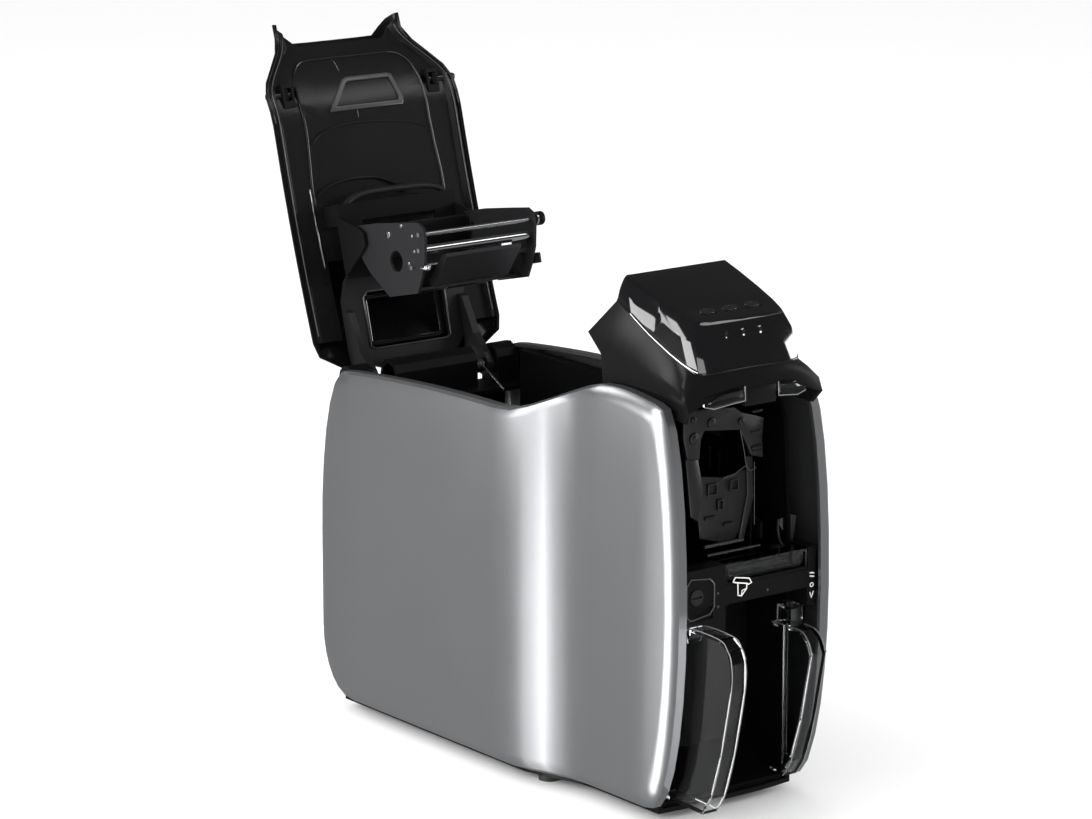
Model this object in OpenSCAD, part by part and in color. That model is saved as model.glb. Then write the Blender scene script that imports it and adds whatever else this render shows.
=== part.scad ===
// Desktop card printer: two side panels around a black body, a lid that opens to the rear with the
// print head on its inside, and a front visor that swings up over the card hopper.
// X runs to the right seen from the front, Y to the back, Z up. The origin is on the desk, between the feet.

/* [Body] */
// Width over the side panels at the rear
body_w = 157; // [152:1:164]
// Width over the side panels at the front
front_w = 129; // [127:1:134]
// How far the side panels reach behind the origin
panel_rear = 180; // [178:1:190]
// How far the side panels reach in front of the origin
panel_front = 176; // [176:1:184]
// Height of the side panels' lower edge over the desk
panel_base = 9.5; // [9:0.5:11]
// Height of the side panels' top edge in the middle
panel_top = 241; // [239:1:244]
// Height of the side panels' shoulder at the front
shoulder_z = 269; // [267:1:272]
// Wall thickness of the side panels
panel_wall = 2.5; // [2:0.1:3]
// Width of the rounded rim of the side panels
rim_w = 11; // [10:0.5:11.5]
// Wall thickness of frames and inner walls
frame_t = 2.5; // [2:0.1:2.5]
// Distance of the rear rubber feet from the centre line
foot_x = 49; // [42:1:52]
// Radius of a rubber foot
foot_r = 7; // [6:0.5:8]
// Height of the body's floor over the desk
floor_z = 5; // [4:0.5:5.5]

/* [Lid] */
// How far the lid stands open, from closed
lid_open = 105; // [100:1:106]
// Wall thickness of the lid
lid_wall = 2.4; // [2:0.1:3]
// Height of the lid's crown over its rim
lid_crown = 31; // [26:1:34]
// Radius of the lid's hinge pins
lid_pin_r = 3; // [2.5:0.1:3.5]
// Depth of the lid's liner over the rim
liner_lift = 3; // [2:0.2:4]
// Radius of the latch plungers
latch_r = 2.5; // [2:0.1:3]

/* [Visor] */
// Wall thickness of the visor
visor_wall = 2.4; // [2:0.1:2.6]
// Half the width of the visor's top face
visor_top_x = 33; // [30:0.5:35]
// Radius of the visor's hinge pins
visor_pin_r = 4; // [3.5:0.1:4.5]
// Length of a push button
button_w = 11; // [9:0.5:12]
// Height a push button stands proud
button_lift = 0.7; // [0.5:0.1:1]

/* [Card path] */
// Height of the printed card's underside
card_z = 135; // [134:0.5:135]
// Height of the card hopper's floor
hopper_z = 151.5; // [151:0.5:152.5]
// Distance from the side panels' inner edge to the card hopper's inside
hopper_margin = 9.5; // [9.5:0.5:12]
// Radius of the drive rollers
roller_r = 8; // [7.6:0.1:8.2]
// Radius of the roller shafts
shaft_r = 3; // [2.6:0.1:3.2]
// Half the length of the rollers' rubber
rubber_x = 28; // [26:0.5:28.5]
// Tooth size of the card drive gears
gear_m = 0.75; // [0.72:0.01:0.77]

/* [Print head] */
// Half the distance between the head's side plates
head_x = 43.5; // [42:0.5:44]
// Thickness of the head's side plates
head_plate_t = 2; // [1.5:0.1:2.4]
// Radius of the steel peel roller
peel_r = 3; // [2.6:0.1:3.2]
// Radius of the ribbon guide rods
rod_r = 1.5; // [1.2:0.1:1.8]

/* [Hidden] */
$fn = 48;
run_gap = 0.05;      // running clearance of a shaft in its bore
seat_gap = 0.2;      // gap between fixed pieces that sit against each other
clear_gap = 0.4;     // gap between pieces that pass close to each other

// ---- plan and side outline of the body ----
step_start = -26;    // where the sides begin to draw in
step_len = 58;       // length over which they draw in
rise_start = -16;    // where the top edge begins to rise to the shoulder
rise_len = 94;
rear_fall = 8;       // fall of the top edge towards the rear
front_fall = 5;      // fall of the top edge in front of the shoulder
stations = 36;
mid_y = (panel_rear - panel_front) / 2;
mid_z = 137;
reach_y = (panel_rear + panel_front) / 2;

function ease(t) = let (u = min(max(t, 0), 1)) u * u * (3 - 2 * u);
function bow(t) = 1 - sqrt(max(0, 1 - pow(min(max(t, 0), 1), 2)));
function half_w(y) = body_w / 2 - (body_w - front_w) / 2 * ease((step_start - y) / step_len);
function edge_z(y) = panel_top - rear_fall * pow(max(y, 0) / 155, 2)
    + (shoulder_z - panel_top) * ease((rise_start - y) / rise_len)
    - front_fall * ease((-118 - y) / 50);
function upper_z(y) = edge_z(y) - 110 * bow((y - panel_rear + 26) / 26)
    - 125 * bow((-y - panel_front + 20) / 20);
function lower_z(y) = panel_base + 45 * bow((y - panel_rear + 30) / 30)
    + 128 * bow((-y - panel_front + 28) / 28);
function station_y(i) = mid_y + reach_y * cos(180 * i / stations);

// One ring of the side outline, drawn in by inset and standing sink inside the widest plan line
function panel_ring(inset, sink) = let (
    ky = 1 - inset / reach_y, kz = 1 - inset / 128)
    concat(
        [for (i = [0:stations]) let (y = station_y(i))
            [-(half_w(y) - sink), mid_y + (y - mid_y) * ky, mid_z + (upper_z(y) - mid_z) * kz]],
        [for (i = [stations:-1:0]) let (y = station_y(i))
            [-(half_w(y) - sink), mid_y + (y - mid_y) * ky, mid_z + (lower_z(y) - mid_z) * kz]]);

// Closed solid through rings of equal length; point i of a ring faces point n-1-i across it
module skin(rings) {
    n = len(rings[0]);
    last = len(rings) - 1;
    sides = [for (k = [0:last - 1], i = [0:n - 1])
        let (a = k * n + i, b = k * n + (i + 1) % n)
            each [[a, b, b + n], [a, b + n, a + n]]];
    caps = [for (i = [0:n / 2 - 2]) let (j = n - 1 - i, t = last * n)
        each [[i, j, j - 1], [i, j - 1, i + 1], [t + i, t + j - 1, t + j], [t + i, t + i + 1, t + j - 1]]];
    polyhedron(points = [for (ring = rings) each ring], faces = concat(sides, caps));
}

// Extrusions of a drawing in the Y-Z or the X-Z plane
module along_x(x0, x1) translate([x0, 0, 0]) rotate([90, 0, 90]) linear_extrude(x1 - x0) children();
module along_y(y0, y1) translate([0, y1, 0]) rotate([90, 0, 0]) linear_extrude(y1 - y0) children();
module span(low, high) translate(low) cube(high - low);
module pair() { children(); mirror([1, 0, 0]) children(); }
module shaft_x(x0, x1, y, z, r) along_x(x0, x1) translate([y, z]) circle(r);

// Plan of the body, drawn in by inset, between two stations
module plan_prism(inset, y0, y1, z0, z1) {
    steps = 24;
    ys = [for (i = [0:steps]) y0 + (y1 - y0) * i / steps];
    translate([0, 0, z0]) linear_extrude(z1 - z0) polygon(concat(
        [for (y = ys) [half_w(y) - inset, y]],
        [for (i = [steps:-1:0]) [-(half_w(ys[i]) - inset), ys[i]]]));
}

// ---- widths that follow from the body ----
rear_out = panel_rear - 11;      // outer face of the rear panel
rim_in = rim_w + clear_gap;      // fixed pieces stand this far inside the side panels' plan
body_in = body_w / 2 - rim_in;
front_in = front_w / 2 - rim_w;  // inner edge of the side panels at the front
hopper_x = front_in - hopper_margin;
latch_x = body_w / 2 - 24;       // inner end of the latch blocks
frame_in = body_w / 2 - 19.5;    // inner face of the frames
lug_in = frame_in - 8.6;         // inner face of the lid's hinge lugs
yoke_x = lug_in - 1;             // half the width of the lid's hinge frame
inlet_x = frame_in - 20;         // power inlet and switch keep their distance from the frames
switch_x = frame_in - 47;
ledge_z = panel_top - 11.5;      // underside of the ledge along the top of the frames
head_arm = head_x + head_plate_t + 0.7;   // inner face of the arms that carry the head

// ---- hinges, shafts and rollers: places on the Y-Z plane ----
lid_y = rear_out - 9;
lid_z = 220;
visor_y = -70;
visor_z = 212;
frame_out = frame_in + frame_t;
gear_in = frame_out + 0.9;
gear_w = 4;
wall_out = hopper_x + frame_t;   // outer face of the hopper walls
axle_z = card_z - roller_r;
platen_y = 84;
idler_y = platen_y - 40 * gear_m;
feed_y = platen_y - 80 * gear_m;
pinion_z = axle_z - 32 * gear_m;
exit_y = -110;
pick_y = -72;
pick_z = hopper_z - roller_r + 0.5;
takeup_y = 5;
takeup_z = 168;
supply_y = 128;
ribbon_y = takeup_y - 28 * gear_m;
spool_r = 8;
belt_r = 4;
belt_in = wall_out + 1.6;
belt_w = 3;
pivot_y = 66;        // pivot of the head cradle, lid closed
pivot_z = 205;
tip_y = 80;          // peel roller, lid closed
tip_z = card_z + 6.5 + peel_r;

module lid_place() translate([0, lid_y, lid_z]) rotate([-lid_open, 0, 0]) translate([0, -lid_y, -lid_z])
    children();

// ---- casing ----
module side_panel() skin([
    panel_ring(9 + panel_wall, panel_wall), panel_ring(2 + panel_wall, 5), panel_ring(panel_wall, 7.5),
    panel_ring(panel_wall, rim_w), panel_ring(0, rim_w), panel_ring(0, 5), panel_ring(2, 2.5),
        panel_ring(9, 0)]);
module left_side_panel() color("silver") side_panel();
module right_side_panel() color("silver") mirror([1, 0, 0]) side_panel();

module base_tray() color("#1c1c1e") {
    wall = 2.4;
    difference() {
        intersection() {
            plan_prism(rim_in, -152, rear_out - 3.2, floor_z, 24);
            translate([0, 250, 0]) cylinder(h = 100, r = 403, $fn = 160);
        }
        plan_prism(rim_in + wall, -160, rear_out - 5.6, floor_z + 3, 90);
    }
    // posts under the card path and the main board
    pair() span([frame_in - 9, -40, floor_z + 3], [frame_in - 3, -34, 60]);
    for (x = [8, frame_in - 11], y = [70, 150]) translate([x, y, floor_z + 2])
        cylinder(h = 26 - floor_z, r = 3);
}
module rubber_feet() color("#101010") {
    pair() translate([foot_x, 132, 0]) cylinder(h = floor_z, r = foot_r);
    pair() translate([body_w / 2 - 24.5, -41, 0]) cylinder(h = floor_z, r = foot_r);
    pair() translate([front_w / 2 - 28.5, -116, 0]) cylinder(h = floor_z, r = foot_r);
}
module rear_panel() color("#232326") {
    difference() {
        span([-body_in, rear_out - 3, 9.2], [body_in, rear_out, 206]);
        translate([0, rear_out, 0]) {
            span([-inlet_x - 15, -9, 28], [-inlet_x + 15, 6, 50]);
            span([-switch_x - 7, -9, 30], [-switch_x + 7, 6, 50]);
            span([6, -9, 29.6], [20, 6, 43.6]);
            for (z = [104:14:160], x = [-42, 6]) span([x, -9, z], [x + 36, 6, z + 4]);
        }
    }
    span([-body_in, lid_y - 21, 205.2], [body_in, rear_out + 0.5, 208]);
    // rounded cover behind the hinge, open where the lid's arms swing
    difference() {
        along_x(-body_in, body_in) translate([lid_y, 0]) polygon([[-9, 206], [-9, 226], [-6, 231],
            [-1, 234], [4, 233.4],
            [8, 230], [9.5, 224], [9.5, 206], [7, 206], [7, 223.6], [5.8, 228], [3, 230.8],
                [-0.6, 231.4], [-4.4, 229.2],
            [-6.6, 225.2], [-6.6, 206]]);
        pair() span([lug_in - 17, lid_y - 20, 208.1], [lug_in + 0.1, lid_y + 20, 240]);
    }
    pair() difference() {
        union() {
            shaft_x(lug_in, lug_in + 5.6, lid_y, lid_z, 7.5);
            span([lug_in, lid_y - 6, 205.2], [lug_in + 5.6, lid_y + 6, lid_z]);
        }
        shaft_x(lug_in - 1, lug_in + 7, lid_y, lid_z, lid_pin_r + run_gap);
    }
}
module lid_hinge_pins() color("silver") pair() shaft_x(lug_in - 7, lug_in + 7.6, lid_y, lid_z, lid_pin_r);

module frame_plate() {
    along_x(frame_in, frame_out) difference() {
        polygon([[-46, 60], [-46, ledge_z + 2.4], [138, ledge_z + 2.4], [138, 190], [rear_out - 5.8, 190],
            [rear_out - 5.8, floor_z + 3], [30, floor_z + 3], [0, 60]]);
        for (at = [[platen_y, axle_z], [feed_y, axle_z], [takeup_y, takeup_z],
            [supply_y, takeup_z]]) translate(at) circle(shaft_r + run_gap);
    }
    // ledge that closes the gap to the side panel
    difference() {
        plan_prism(rim_in, -46, 138, ledge_z, ledge_z + 2.5);
        span([-frame_in, -60, ledge_z - 9], [frame_in, 170, ledge_z + 9]);
        span([-90, -60, ledge_z - 9], [0, 170, ledge_z + 9]);
    }
}
module right_frame() color("#2a2a2d") {
    difference() {
        frame_plate();
        shaft_x(50, 70, idler_y, pinion_z, 3.4);
        shaft_x(50, 70, ribbon_y, takeup_z, 3.4);
    }
    shaft_x(frame_in, gear_in + gear_w + 0.4, idler_y, axle_z, 3);
}
module left_frame() color("#2a2a2d") mirror([1, 0, 0]) frame_plate();
module divider_wall() color("#1e1e20") difference() {
    span([-frame_in + seat_gap, -50, card_z + 1.4], [frame_in - seat_gap, -47.6, 238]);
    span([-30, -55, hopper_z - 1], [30, -40, hopper_z + 4]);
    pair() span([belt_in - 1, -55, 100], [belt_in + belt_w + 1, -40, 152]);
}
module card_guide() color("#333336") difference() {
    union() {
        span([-hopper_x + seat_gap, -150, card_z - 2.4], [hopper_x - seat_gap, -46, card_z - 0.3]);
        span([-hopper_x + seat_gap, -46.1, card_z - 2.4], [hopper_x - seat_gap, 152, card_z - 0.3]);
        for (y = [44, 104, 138]) span([-frame_in + seat_gap, y, card_z - 2.4],
            [frame_in - seat_gap, y + 8, card_z - 0.3]);
    }
    for (y = [exit_y, feed_y, platen_y]) span([-30, y - 7.6, 120], [30, y + 7.6, 140]);
}
module nose_cover() color("#1a1a1c") {
    along_x(-wall_out - 0.1, wall_out + 0.1) polygon([[-138, 258.2], [-138, 260.6], [-84, 260.6],
        [-52.4, 240.5],
        [-47.4, 240.5], [-47.4, 238.2], [-53, 238.2], [-84.6, 258.2]]);
}
module hopper_side(x0, x1) difference() {
    along_x(x0, x1) polygon([[-50.2, 118], [-50.2, 238], [-53.3, 238], [-84.9, 258], [-138, 258], [-146, 250],
        [-150, 240], [-154.8, 176], [-154.8, 126], [-151.4, 125.4], [-151.4, 118]]);
    for (at = [[exit_y, axle_z], [pick_y, pick_z]]) shaft_x(x0 - 1, x1 + 1, at[0], at[1], shaft_r + run_gap);
    shaft_x(x0 - 1, x1 + 1, visor_y, visor_z, visor_pin_r - 1);
}
module visor_pin() {
    shaft_x(wall_out, wall_out + 5.1, visor_y, visor_z, visor_pin_r);
    shaft_x(hopper_x, wall_out + 1, visor_y, visor_z, visor_pin_r - 1.02);
}
module hopper_left_wall() color("#222224") {
    hopper_side(-wall_out, -hopper_x);
    mirror([1, 0, 0]) visor_pin();
}
module hopper_right_wall() color("#222224") {
    hopper_side(hopper_x, wall_out);
    visor_pin();
}
module hopper_floor() color("#2c2c2f") difference() {
    span([-hopper_x + seat_gap, -154.6, hopper_z - 2.2], [hopper_x - seat_gap, -50.2, hopper_z]);
    span([-30, pick_y - 9.5, 140], [30, pick_y + 9.5, 160]);
}
module hopper_bracket() color("#2c2c2f") difference() {
    union() {
        span([26, -140, hopper_z], [28, -50.2, 224]);
        span([28, -90, hopper_z], [hopper_x - seat_gap, -88, 223]);
        shaft_x(28, 33.2, -60, 185, 2);
    }
    shaft_x(20, 40, pick_y, pick_z, roller_r + 1);
    span([29.5, -95, 190], [42, -80, 218]);
    span([29.2, -95, 168], [33.2, -80, 191]);
    span([20, -134, 200], [35, -100, 216]);
    span([20, -134, 176], [35, -116, 190]);
}

// ---- front ----
bezel_x = front_in - 0.3;
tray_x = front_in - 2.9;
module front_bezel() color("#202022") difference() {
    union() {
        span([-bezel_x, -171, 137.5], [bezel_x, -158, 149]);
        span([-bezel_x, -171, 119], [-19, -158, 163]);
        span([-bezel_x, -171, 119], [-wall_out - clear_gap, -150.4, 163]);
        span([wall_out + clear_gap, -171, 126], [bezel_x, -150.4, 163]);
    }
    translate([-42, -171, 146]) rotate([90, 0, 0]) cylinder(h = 4, r = 5.2, center = true);
    span([-53, -172, 131], [-29, -169.8, 139]);
}
module slot_light_bar() color("#55585c") difference() {
    span([-18.8, -170.5, 149], [wall_out + seat_gap, -159, 162.4]);
    span([-17, -180, 151], [wall_out - 1.5, -168.5, 160.4]);
}
module lock_screw() color("silver") difference() {
    translate([-42, -169, 146]) rotate([90, 0, 0]) cylinder(h = 2.6, r = 5);
    span([-46, -173, 145.4], [-38, -170.6, 146.6]);
}
module output_tray() color("#151516") {
    span([-tray_x, -112, floor_z + 3], [tray_x, -109.6, 118]);
    pair() span([tray_x - 2.4, -147.8, floor_z + 3], [tray_x, -111, 118]);
    along_x(-tray_x + 2.3, tray_x - 2.3) polygon([[-147.8, floor_z + 3], [-147.8, floor_z + 6],
        [-111, 30], [-111, floor_z + 3]]);
}
// Clear card guard: a flat wall with a turned-in rim; front is its foremost line
module output_guard(front, top, tab) {
    outer = concat([[-148, 16]],
        tab ? [[-148, top], [-152, top], [-152, top + 13], [-166, top + 13],
            [-166, top]] : [[-148, 118.6], [-171.3, 118.6], [-171.3, top]],
        [[front + 12, top], [front + 4, top - 5], [front, top - 13], [front, 97], [front + 9, 54],
            [front + 18, 26], [front + 26, 14]]);
    inner = concat([[-140, 18.5]],
        tab ? [[-140, top - 2], [-154, top - 2], [-154, top + 11], [-164, top + 11],
            [-164, top - 2]] : [[-140, 121], [-173.3, 121], [-173.3, top - 2]],
        [[front + 13, top - 2], [front + 5.4, top - 6.6], [front + 2, top - 14], [front + 2, 97],
            [front + 11, 54], [front + 20, 26], [front + 27, 16.4]]);
    difference() {
        along_x(-tray_x + 1.2, -tray_x + 12.6) polygon(outer);
        along_x(-tray_x + 3, -tray_x + 20) polygon(inner);
    }
}
module left_output_guard() color("#9aa0a6") output_guard(-213, 128, false);
module right_output_guard() color("#9aa0a6") mirror([1, 0, 0]) output_guard(-186, 112, true);

// ---- electrics ----
module power_inlet() color("#18181a") translate([0, rear_out, 0]) {
    difference() {
        union() {
            span([-inlet_x - 14.8, -19, 28.2], [-inlet_x + 14.8, 1, 49.8]);
            span([-inlet_x - 17, 0.1, 26], [-inlet_x + 17, 2, 52]);
        }
        span([-inlet_x - 12, -14, 31], [-inlet_x + 12, 11, 47]);
    }
    for (x = [-6, 0, 6]) translate([x - inlet_x, -15, x == 0 ? 42 : 37]) rotate([-90, 0, 0])
        cylinder(h = 10, r = 1.4);
}
module power_switch() color("#101012") {
    translate([-switch_x, rear_out - 5, 40]) rotate([6, 0, 0]) difference() {
        span([-6.2, 0, -8.6], [6.2, 6, 8.6]);
        span([-7, 5, -0.4], [7, 8, 0.4]);
    }
    shaft_x(-switch_x - 6.4, -switch_x + 6.4, rear_out - 3, 40, 1.2);
}
module usb_socket() color("#8a8d90") translate([0, rear_out, 0]) difference() {
    span([6.2, -17, 29.7], [19.8, 1, 43.4]);
    span([7.4, -13, 31], [18.6, 6, 42.2]);
}
module main_board() color("#1d5a35") {
    span([2, 60, 28], [frame_in - 5, rear_out - 3.2, 29.6]);
    for (at = [[28, 140], [30, 100], [6, 112], [10, 76]]) translate([at[0], at[1], 29]) cube([14, 14, 3]);
}
module power_supply() color("#9b9ea2") span([-frame_in + 5, 20, floor_z + 3], [-4, 130, 46]);

// ---- drive ----
function tooth(k, teeth, phase) = let (
    pitch = teeth * gear_m / 2, root = pitch - 1.1 * gear_m, tip = pitch + 0.75 * gear_m,
    middle = (k + phase / 2) * 360 / teeth, wide = 0.33 * 360 / teeth, slim = 0.11 * 360 / teeth)
    [for (p = [[root, -wide], [tip, -slim], [tip, slim], [root, wide]])
        [p[0] * cos(middle + p[1]), p[0] * sin(middle + p[1])]];
module gear_at(y, z, teeth, bore, phase) difference() {
    along_x(gear_in, gear_in + gear_w) translate([y, z])
        polygon([for (k = [0:teeth - 1]) each tooth(k, teeth, phase)]);
    shaft_x(gear_in - 1, gear_in + gear_w + 1, y, z, bore);
}
module motor(y, z, r, len) difference() {
    union() {
        shaft_x(frame_in - len, frame_in - seat_gap, y, z, r);
        shaft_x(frame_in - 1, frame_out, y, z, 3.2);
    }
    shaft_x(frame_in - 12, frame_out + 1, y, z, 2 + run_gap);
}
module feed_motor() color("#6d7074") motor(idler_y, pinion_z, 17, 36);
module motor_pinion() color("#c9a227") {
    gear_at(idler_y, pinion_z, 16, 1.5, 1);
    shaft_x(frame_in - 11, gear_in + gear_w, idler_y, pinion_z, 2);
}
module idler_gear() color("#d8d8d2") gear_at(idler_y, axle_z, 48, 3 + run_gap, 0);
module platen_gear() color("#d8d8d2") gear_at(platen_y, axle_z, 32, shaft_r, 1);
module feed_gear() color("#d8d8d2") gear_at(feed_y, axle_z, 32, shaft_r, 1);
module roller(y, z, r, x0, x1) {
    shaft_x(x0, x1, y, z, shaft_r);
    shaft_x(-rubber_x, rubber_x, y, z, r);
}
module platen_roller() color("#2b2b2b") roller(platen_y, axle_z, roller_r, -frame_out, gear_in + gear_w);
module feed_roller() color("#2b2b2b") {
    roller(feed_y, axle_z, roller_r, -frame_out, gear_in + gear_w);
    shaft_x(belt_in, belt_in + belt_w, feed_y, axle_z, belt_r);
}
module exit_roller() color("#2b2b2b") {
    roller(exit_y, axle_z, roller_r, -wall_out, belt_in + belt_w);
    shaft_x(belt_in, belt_in + belt_w, exit_y, axle_z, belt_r);
}
module pick_roller() color("#2b2b2b") {
    roller(pick_y, pick_z, roller_r, -wall_out, belt_in + belt_w);
    shaft_x(belt_in, belt_in + belt_w, pick_y, pick_z, belt_r);
}
module belt_line(r) hull() for (at = [[feed_y, axle_z], [pick_y, pick_z],
    [exit_y, axle_z]]) translate(at) circle(r, $fn = 32);
module drive_belt() color("#18181a") along_x(belt_in + 0.2, belt_in + belt_w - 0.2) difference() {
    belt_line(belt_r + 1.1);
    belt_line(belt_r + 0.12);
}
module ribbon_motor() color("#6d7074") motor(ribbon_y, takeup_z, 11, 24);
module ribbon_pinion() color("#c9a227") {
    gear_at(ribbon_y, takeup_z, 16, 1.5, 0);
    shaft_x(frame_in - 11, gear_in + gear_w, ribbon_y, takeup_z, 2);
}
module takeup_gear() color("#d8d8d2") gear_at(takeup_y, takeup_z, 40, shaft_r, 1);
module spindle(y) {
    shaft_x(42, frame_in - 0.6, y, takeup_z, spool_r - 1.6);
    for (k = [0:2]) translate([42, y, takeup_z]) rotate([k * 120, 0, 0]) translate([0, -0.8, 0])
        cube([frame_in - 42.6, 1.6, spool_r]);
}
module takeup_spindle() color("#e0e0da") {
    spindle(takeup_y);
    shaft_x(50, gear_in + gear_w, takeup_y, takeup_z, shaft_r);
}
module supply_spindle() color("#e0e0da") {
    spindle(supply_y);
    shaft_x(50, frame_out, supply_y, takeup_z, shaft_r);
}
module card_weight() color("#3a3a3d") {
    difference() {
        union() {
            along_x(30, 32.4) polygon([[-145, 176], [-131, 182], [-58, 188], [-58, 182], [-128, 170],
                [-145, 166]]);
            shaft_x(30, 32.4, -60, 185, 4.5);
        }
        shaft_x(29, 34, -60, 185, 2 + run_gap);
    }
}

// ---- lid, drawn closed ----
lid_rear = lid_y - 12;
lid_front = -86;
lid_stations = 24;
latch_y = -37.5;
latch_z = edge_z(latch_y) + 4.4;
function lid_edge(x) = lid_front + 13 * ease((50 - x) / 17);
function lid_nominal(s) = lid_rear + (lid_front - lid_rear) * s;
function lid_half(y) = body_w / 2 - 2 - 20 * bow((y - lid_rear + 20) / 20)
    - (body_w / 2 - front_w / 2 + 11.3) * ease((-36 - y) / 42);
function lid_rim(y) = edge_z(max(y, -78)) + 0.9;
function lid_height(y) = 5 + (lid_crown - 5) * ease((150 - y) / 75) - (lid_crown - 14) * ease((-10 - y) / 76);
function lid_profile(w, c) = [[w, 0], [w, 1.6], [w - 1.2, 3.4], [w - 2.2 - c * 0.28, 3.4 + c * 0.33],
    [w - 2.2 - c * 0.6, 2 + c * 0.72], [w - 6 - c * 0.76, 1 + c * 0.93], [w * 0.42, c + 1.2], [0.4, c + 1.6]];
// Half of a ring of the lid at station s: points [x, y, z] from the rim to the middle
function lid_half_ring(s, profile, drop) = let (yn = lid_nominal(s))
    [for (p = profile) let (y = lid_rear - drop + (lid_edge(p[0]) + drop - lid_rear + drop) * s) [p[0],
        y, lid_rim(y) + p[1]]];
function mirrored(h) = [for (p = h) [-p[0], p[1], p[2]]];
function reversed(h) = [for (i = [len(h) - 1:-1:0]) h[i]];
function band(outer, inner) = concat(mirrored(outer), reversed(outer), inner, reversed(mirrored(inner)));

module lid_skin() skin([for (i = [0:lid_stations])
    let (s = i / lid_stations, y = lid_nominal(s), w = lid_half(y), c = lid_height(y))
    band(lid_half_ring(s, lid_profile(w, c), 0), lid_half_ring(s, lid_profile(w - lid_wall,
        c - lid_wall), 0))]);
module lid_shell() color("#141416") lid_place() difference() {
    lid_skin();
    pair() shaft_x(latch_x + 11.5, latch_x + 36, latch_y, latch_z, latch_r + 0.4);
}
function liner_profile(w, up) = [[w, 0.5 + up], [w - 3.4, 0.5 + up], [w - 5.6, liner_lift + up],
    [w - 10, liner_lift + up],
    [w - 15, liner_lift + up], [w * 0.5, liner_lift + up], [0.4, liner_lift + up]];
module lid_liner() color("#1b1b1d") lid_place() difference() {
    union() {
        skin([for (i = [2:lid_stations]) let (s = i / lid_stations * 0.985, w = lid_half(lid_nominal(s))
            - lid_wall - 0.6)
            band(lid_half_ring(s, liner_profile(w, 1.8), 0), lid_half_ring(s, liner_profile(w, 0), 0))]);
        pair() span([latch_x, latch_y - 7, latch_z - 3.6], [latch_x + 9.1, latch_y + 9, latch_z + 3.4]);
    }
    span([-yoke_x - 2.1, lid_y - 84, 225], [yoke_x + 2.1, lid_y, 260]);
    pair() shaft_x(latch_x - 4, latch_x + 26, latch_y, latch_z, latch_r + 0.06);
    pair() span([latch_x + 1.7, latch_y - 4.2, latch_z - 5], [latch_x + 7.1, latch_y + 4.2, latch_z + 5]);
}
module left_latch() color("silver") lid_place() mirror([1, 0, 0]) latch();
module right_latch() color("silver") lid_place() latch();
module latch() {
    shaft_x(latch_x + 1, latch_x + 23, latch_y, latch_z, latch_r);
    translate([latch_x + 23, latch_y, latch_z]) sphere(r = latch_r);
    span([latch_x + 4.7, latch_y - 3.6, latch_z - 3.4], [latch_x + 6.9, latch_y + 3.6, latch_z + 3.4]);
}
module lid_hinge_frame() color("#3a3a3d") lid_place() {
    half = [[27, -96], [31, -86], [yoke_x - 4.4, -69], [yoke_x, -56], [yoke_x, -42], [yoke_x - 3.4, -36],
        [yoke_x - 5.4, -23], [yoke_x - 14.4, -12], [23, -8]];
    translate([0, lid_y, 235]) linear_extrude(3.4) difference() {
        polygon(concat(half, [for (i = [len(half) - 1:-1:0]) [-half[i][0], half[i][1]]]));
        polygon([[29, -61], [33, -57], [33, -24], [29, -22], [-29, -22], [-33, -24], [-33, -57], [-29, -61]]);
    }
    pair() translate([21, lid_y - 90.5, 238]) cylinder(h = liner_lift + edge_z(lid_y - 90.5) - 237.35, r = 4);
    pair() along_x(yoke_x - 5.4, yoke_x) translate([lid_y, lid_z]) difference() {
        union() {
            polygon([[-52, 18.3], [-48, 11.5], [-22, 4.5], [-8, -4], [-1, -6.4], [5.6, -4], [6, 3.5], [0, 10],
                [-10, 16.5], [-20, 18.3]]);
            circle(6.5);
        }
        circle(lid_pin_r + run_gap);
    }
}
module lid_spring() color("silver") {
    for (k = [0:4]) translate([lug_in - 15 + k * 1.7, lid_y, lid_z]) rotate([0, 90, 0]) rotate_extrude()
        translate([4, 0]) circle(0.95, $fn = 16);
    translate([lug_in - 14.4, lid_y + 4, 208]) cylinder(h = lid_z - 208, r = 0.8);
    translate([lug_in - 8.4, lid_y - 4, lid_z]) rotate([118, 0, 0]) cylinder(h = 26, r = 0.8);
}

// ---- print head, drawn with the lid closed ----
module head_bracket() color("#26262a") lid_place() {
    difference() {
        union() {
            span([-head_arm - 2, 40, 226], [head_arm + 2, 90, 229]);
            pair() along_x(head_arm, head_arm + 2) polygon([[48, 228], [58, 206], [62, 200.6],
                [70, 200.6], [74, 206], [88, 228]]);
        }
        span([-30, 52, 220], [30, 80, 235]);
    }
    pair() span([34, 40, 228.9], [head_arm + 2, 54, edge_z(47) + liner_lift + 0.55]);
    pair() shaft_x(head_x - 0.3, head_arm + 2, pivot_y, pivot_z, 2);
}
module head_cradle() color("#3a3a3d") lid_place() {
    pair() along_x(head_x, head_x + head_plate_t) difference() {
        polygon([[56, 212], [76, 212], [88, 204], [106, 186], [107, 154], [98, 147], [88, 141],
            [74, 136.8], [66, 136.8],
            [62, 142], [60, 160], [57, 190]]);
        translate([pivot_y, pivot_z]) circle(2 + run_gap);
        for (at = [[tip_y, tip_z]]) translate(at) circle(1.5 + run_gap);
        for (at = [[70, 140.6], [90, 154]]) translate(at) circle(rod_r + 0.02);
        translate([84, 172]) circle(7);
    }
    span([-head_x - 0.1, 58, 210], [head_x + 0.1, 76, 212]);
    span([-head_x - 0.1, 103.6, 160], [head_x + 0.1, 105.4, 184]);
}
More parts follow.
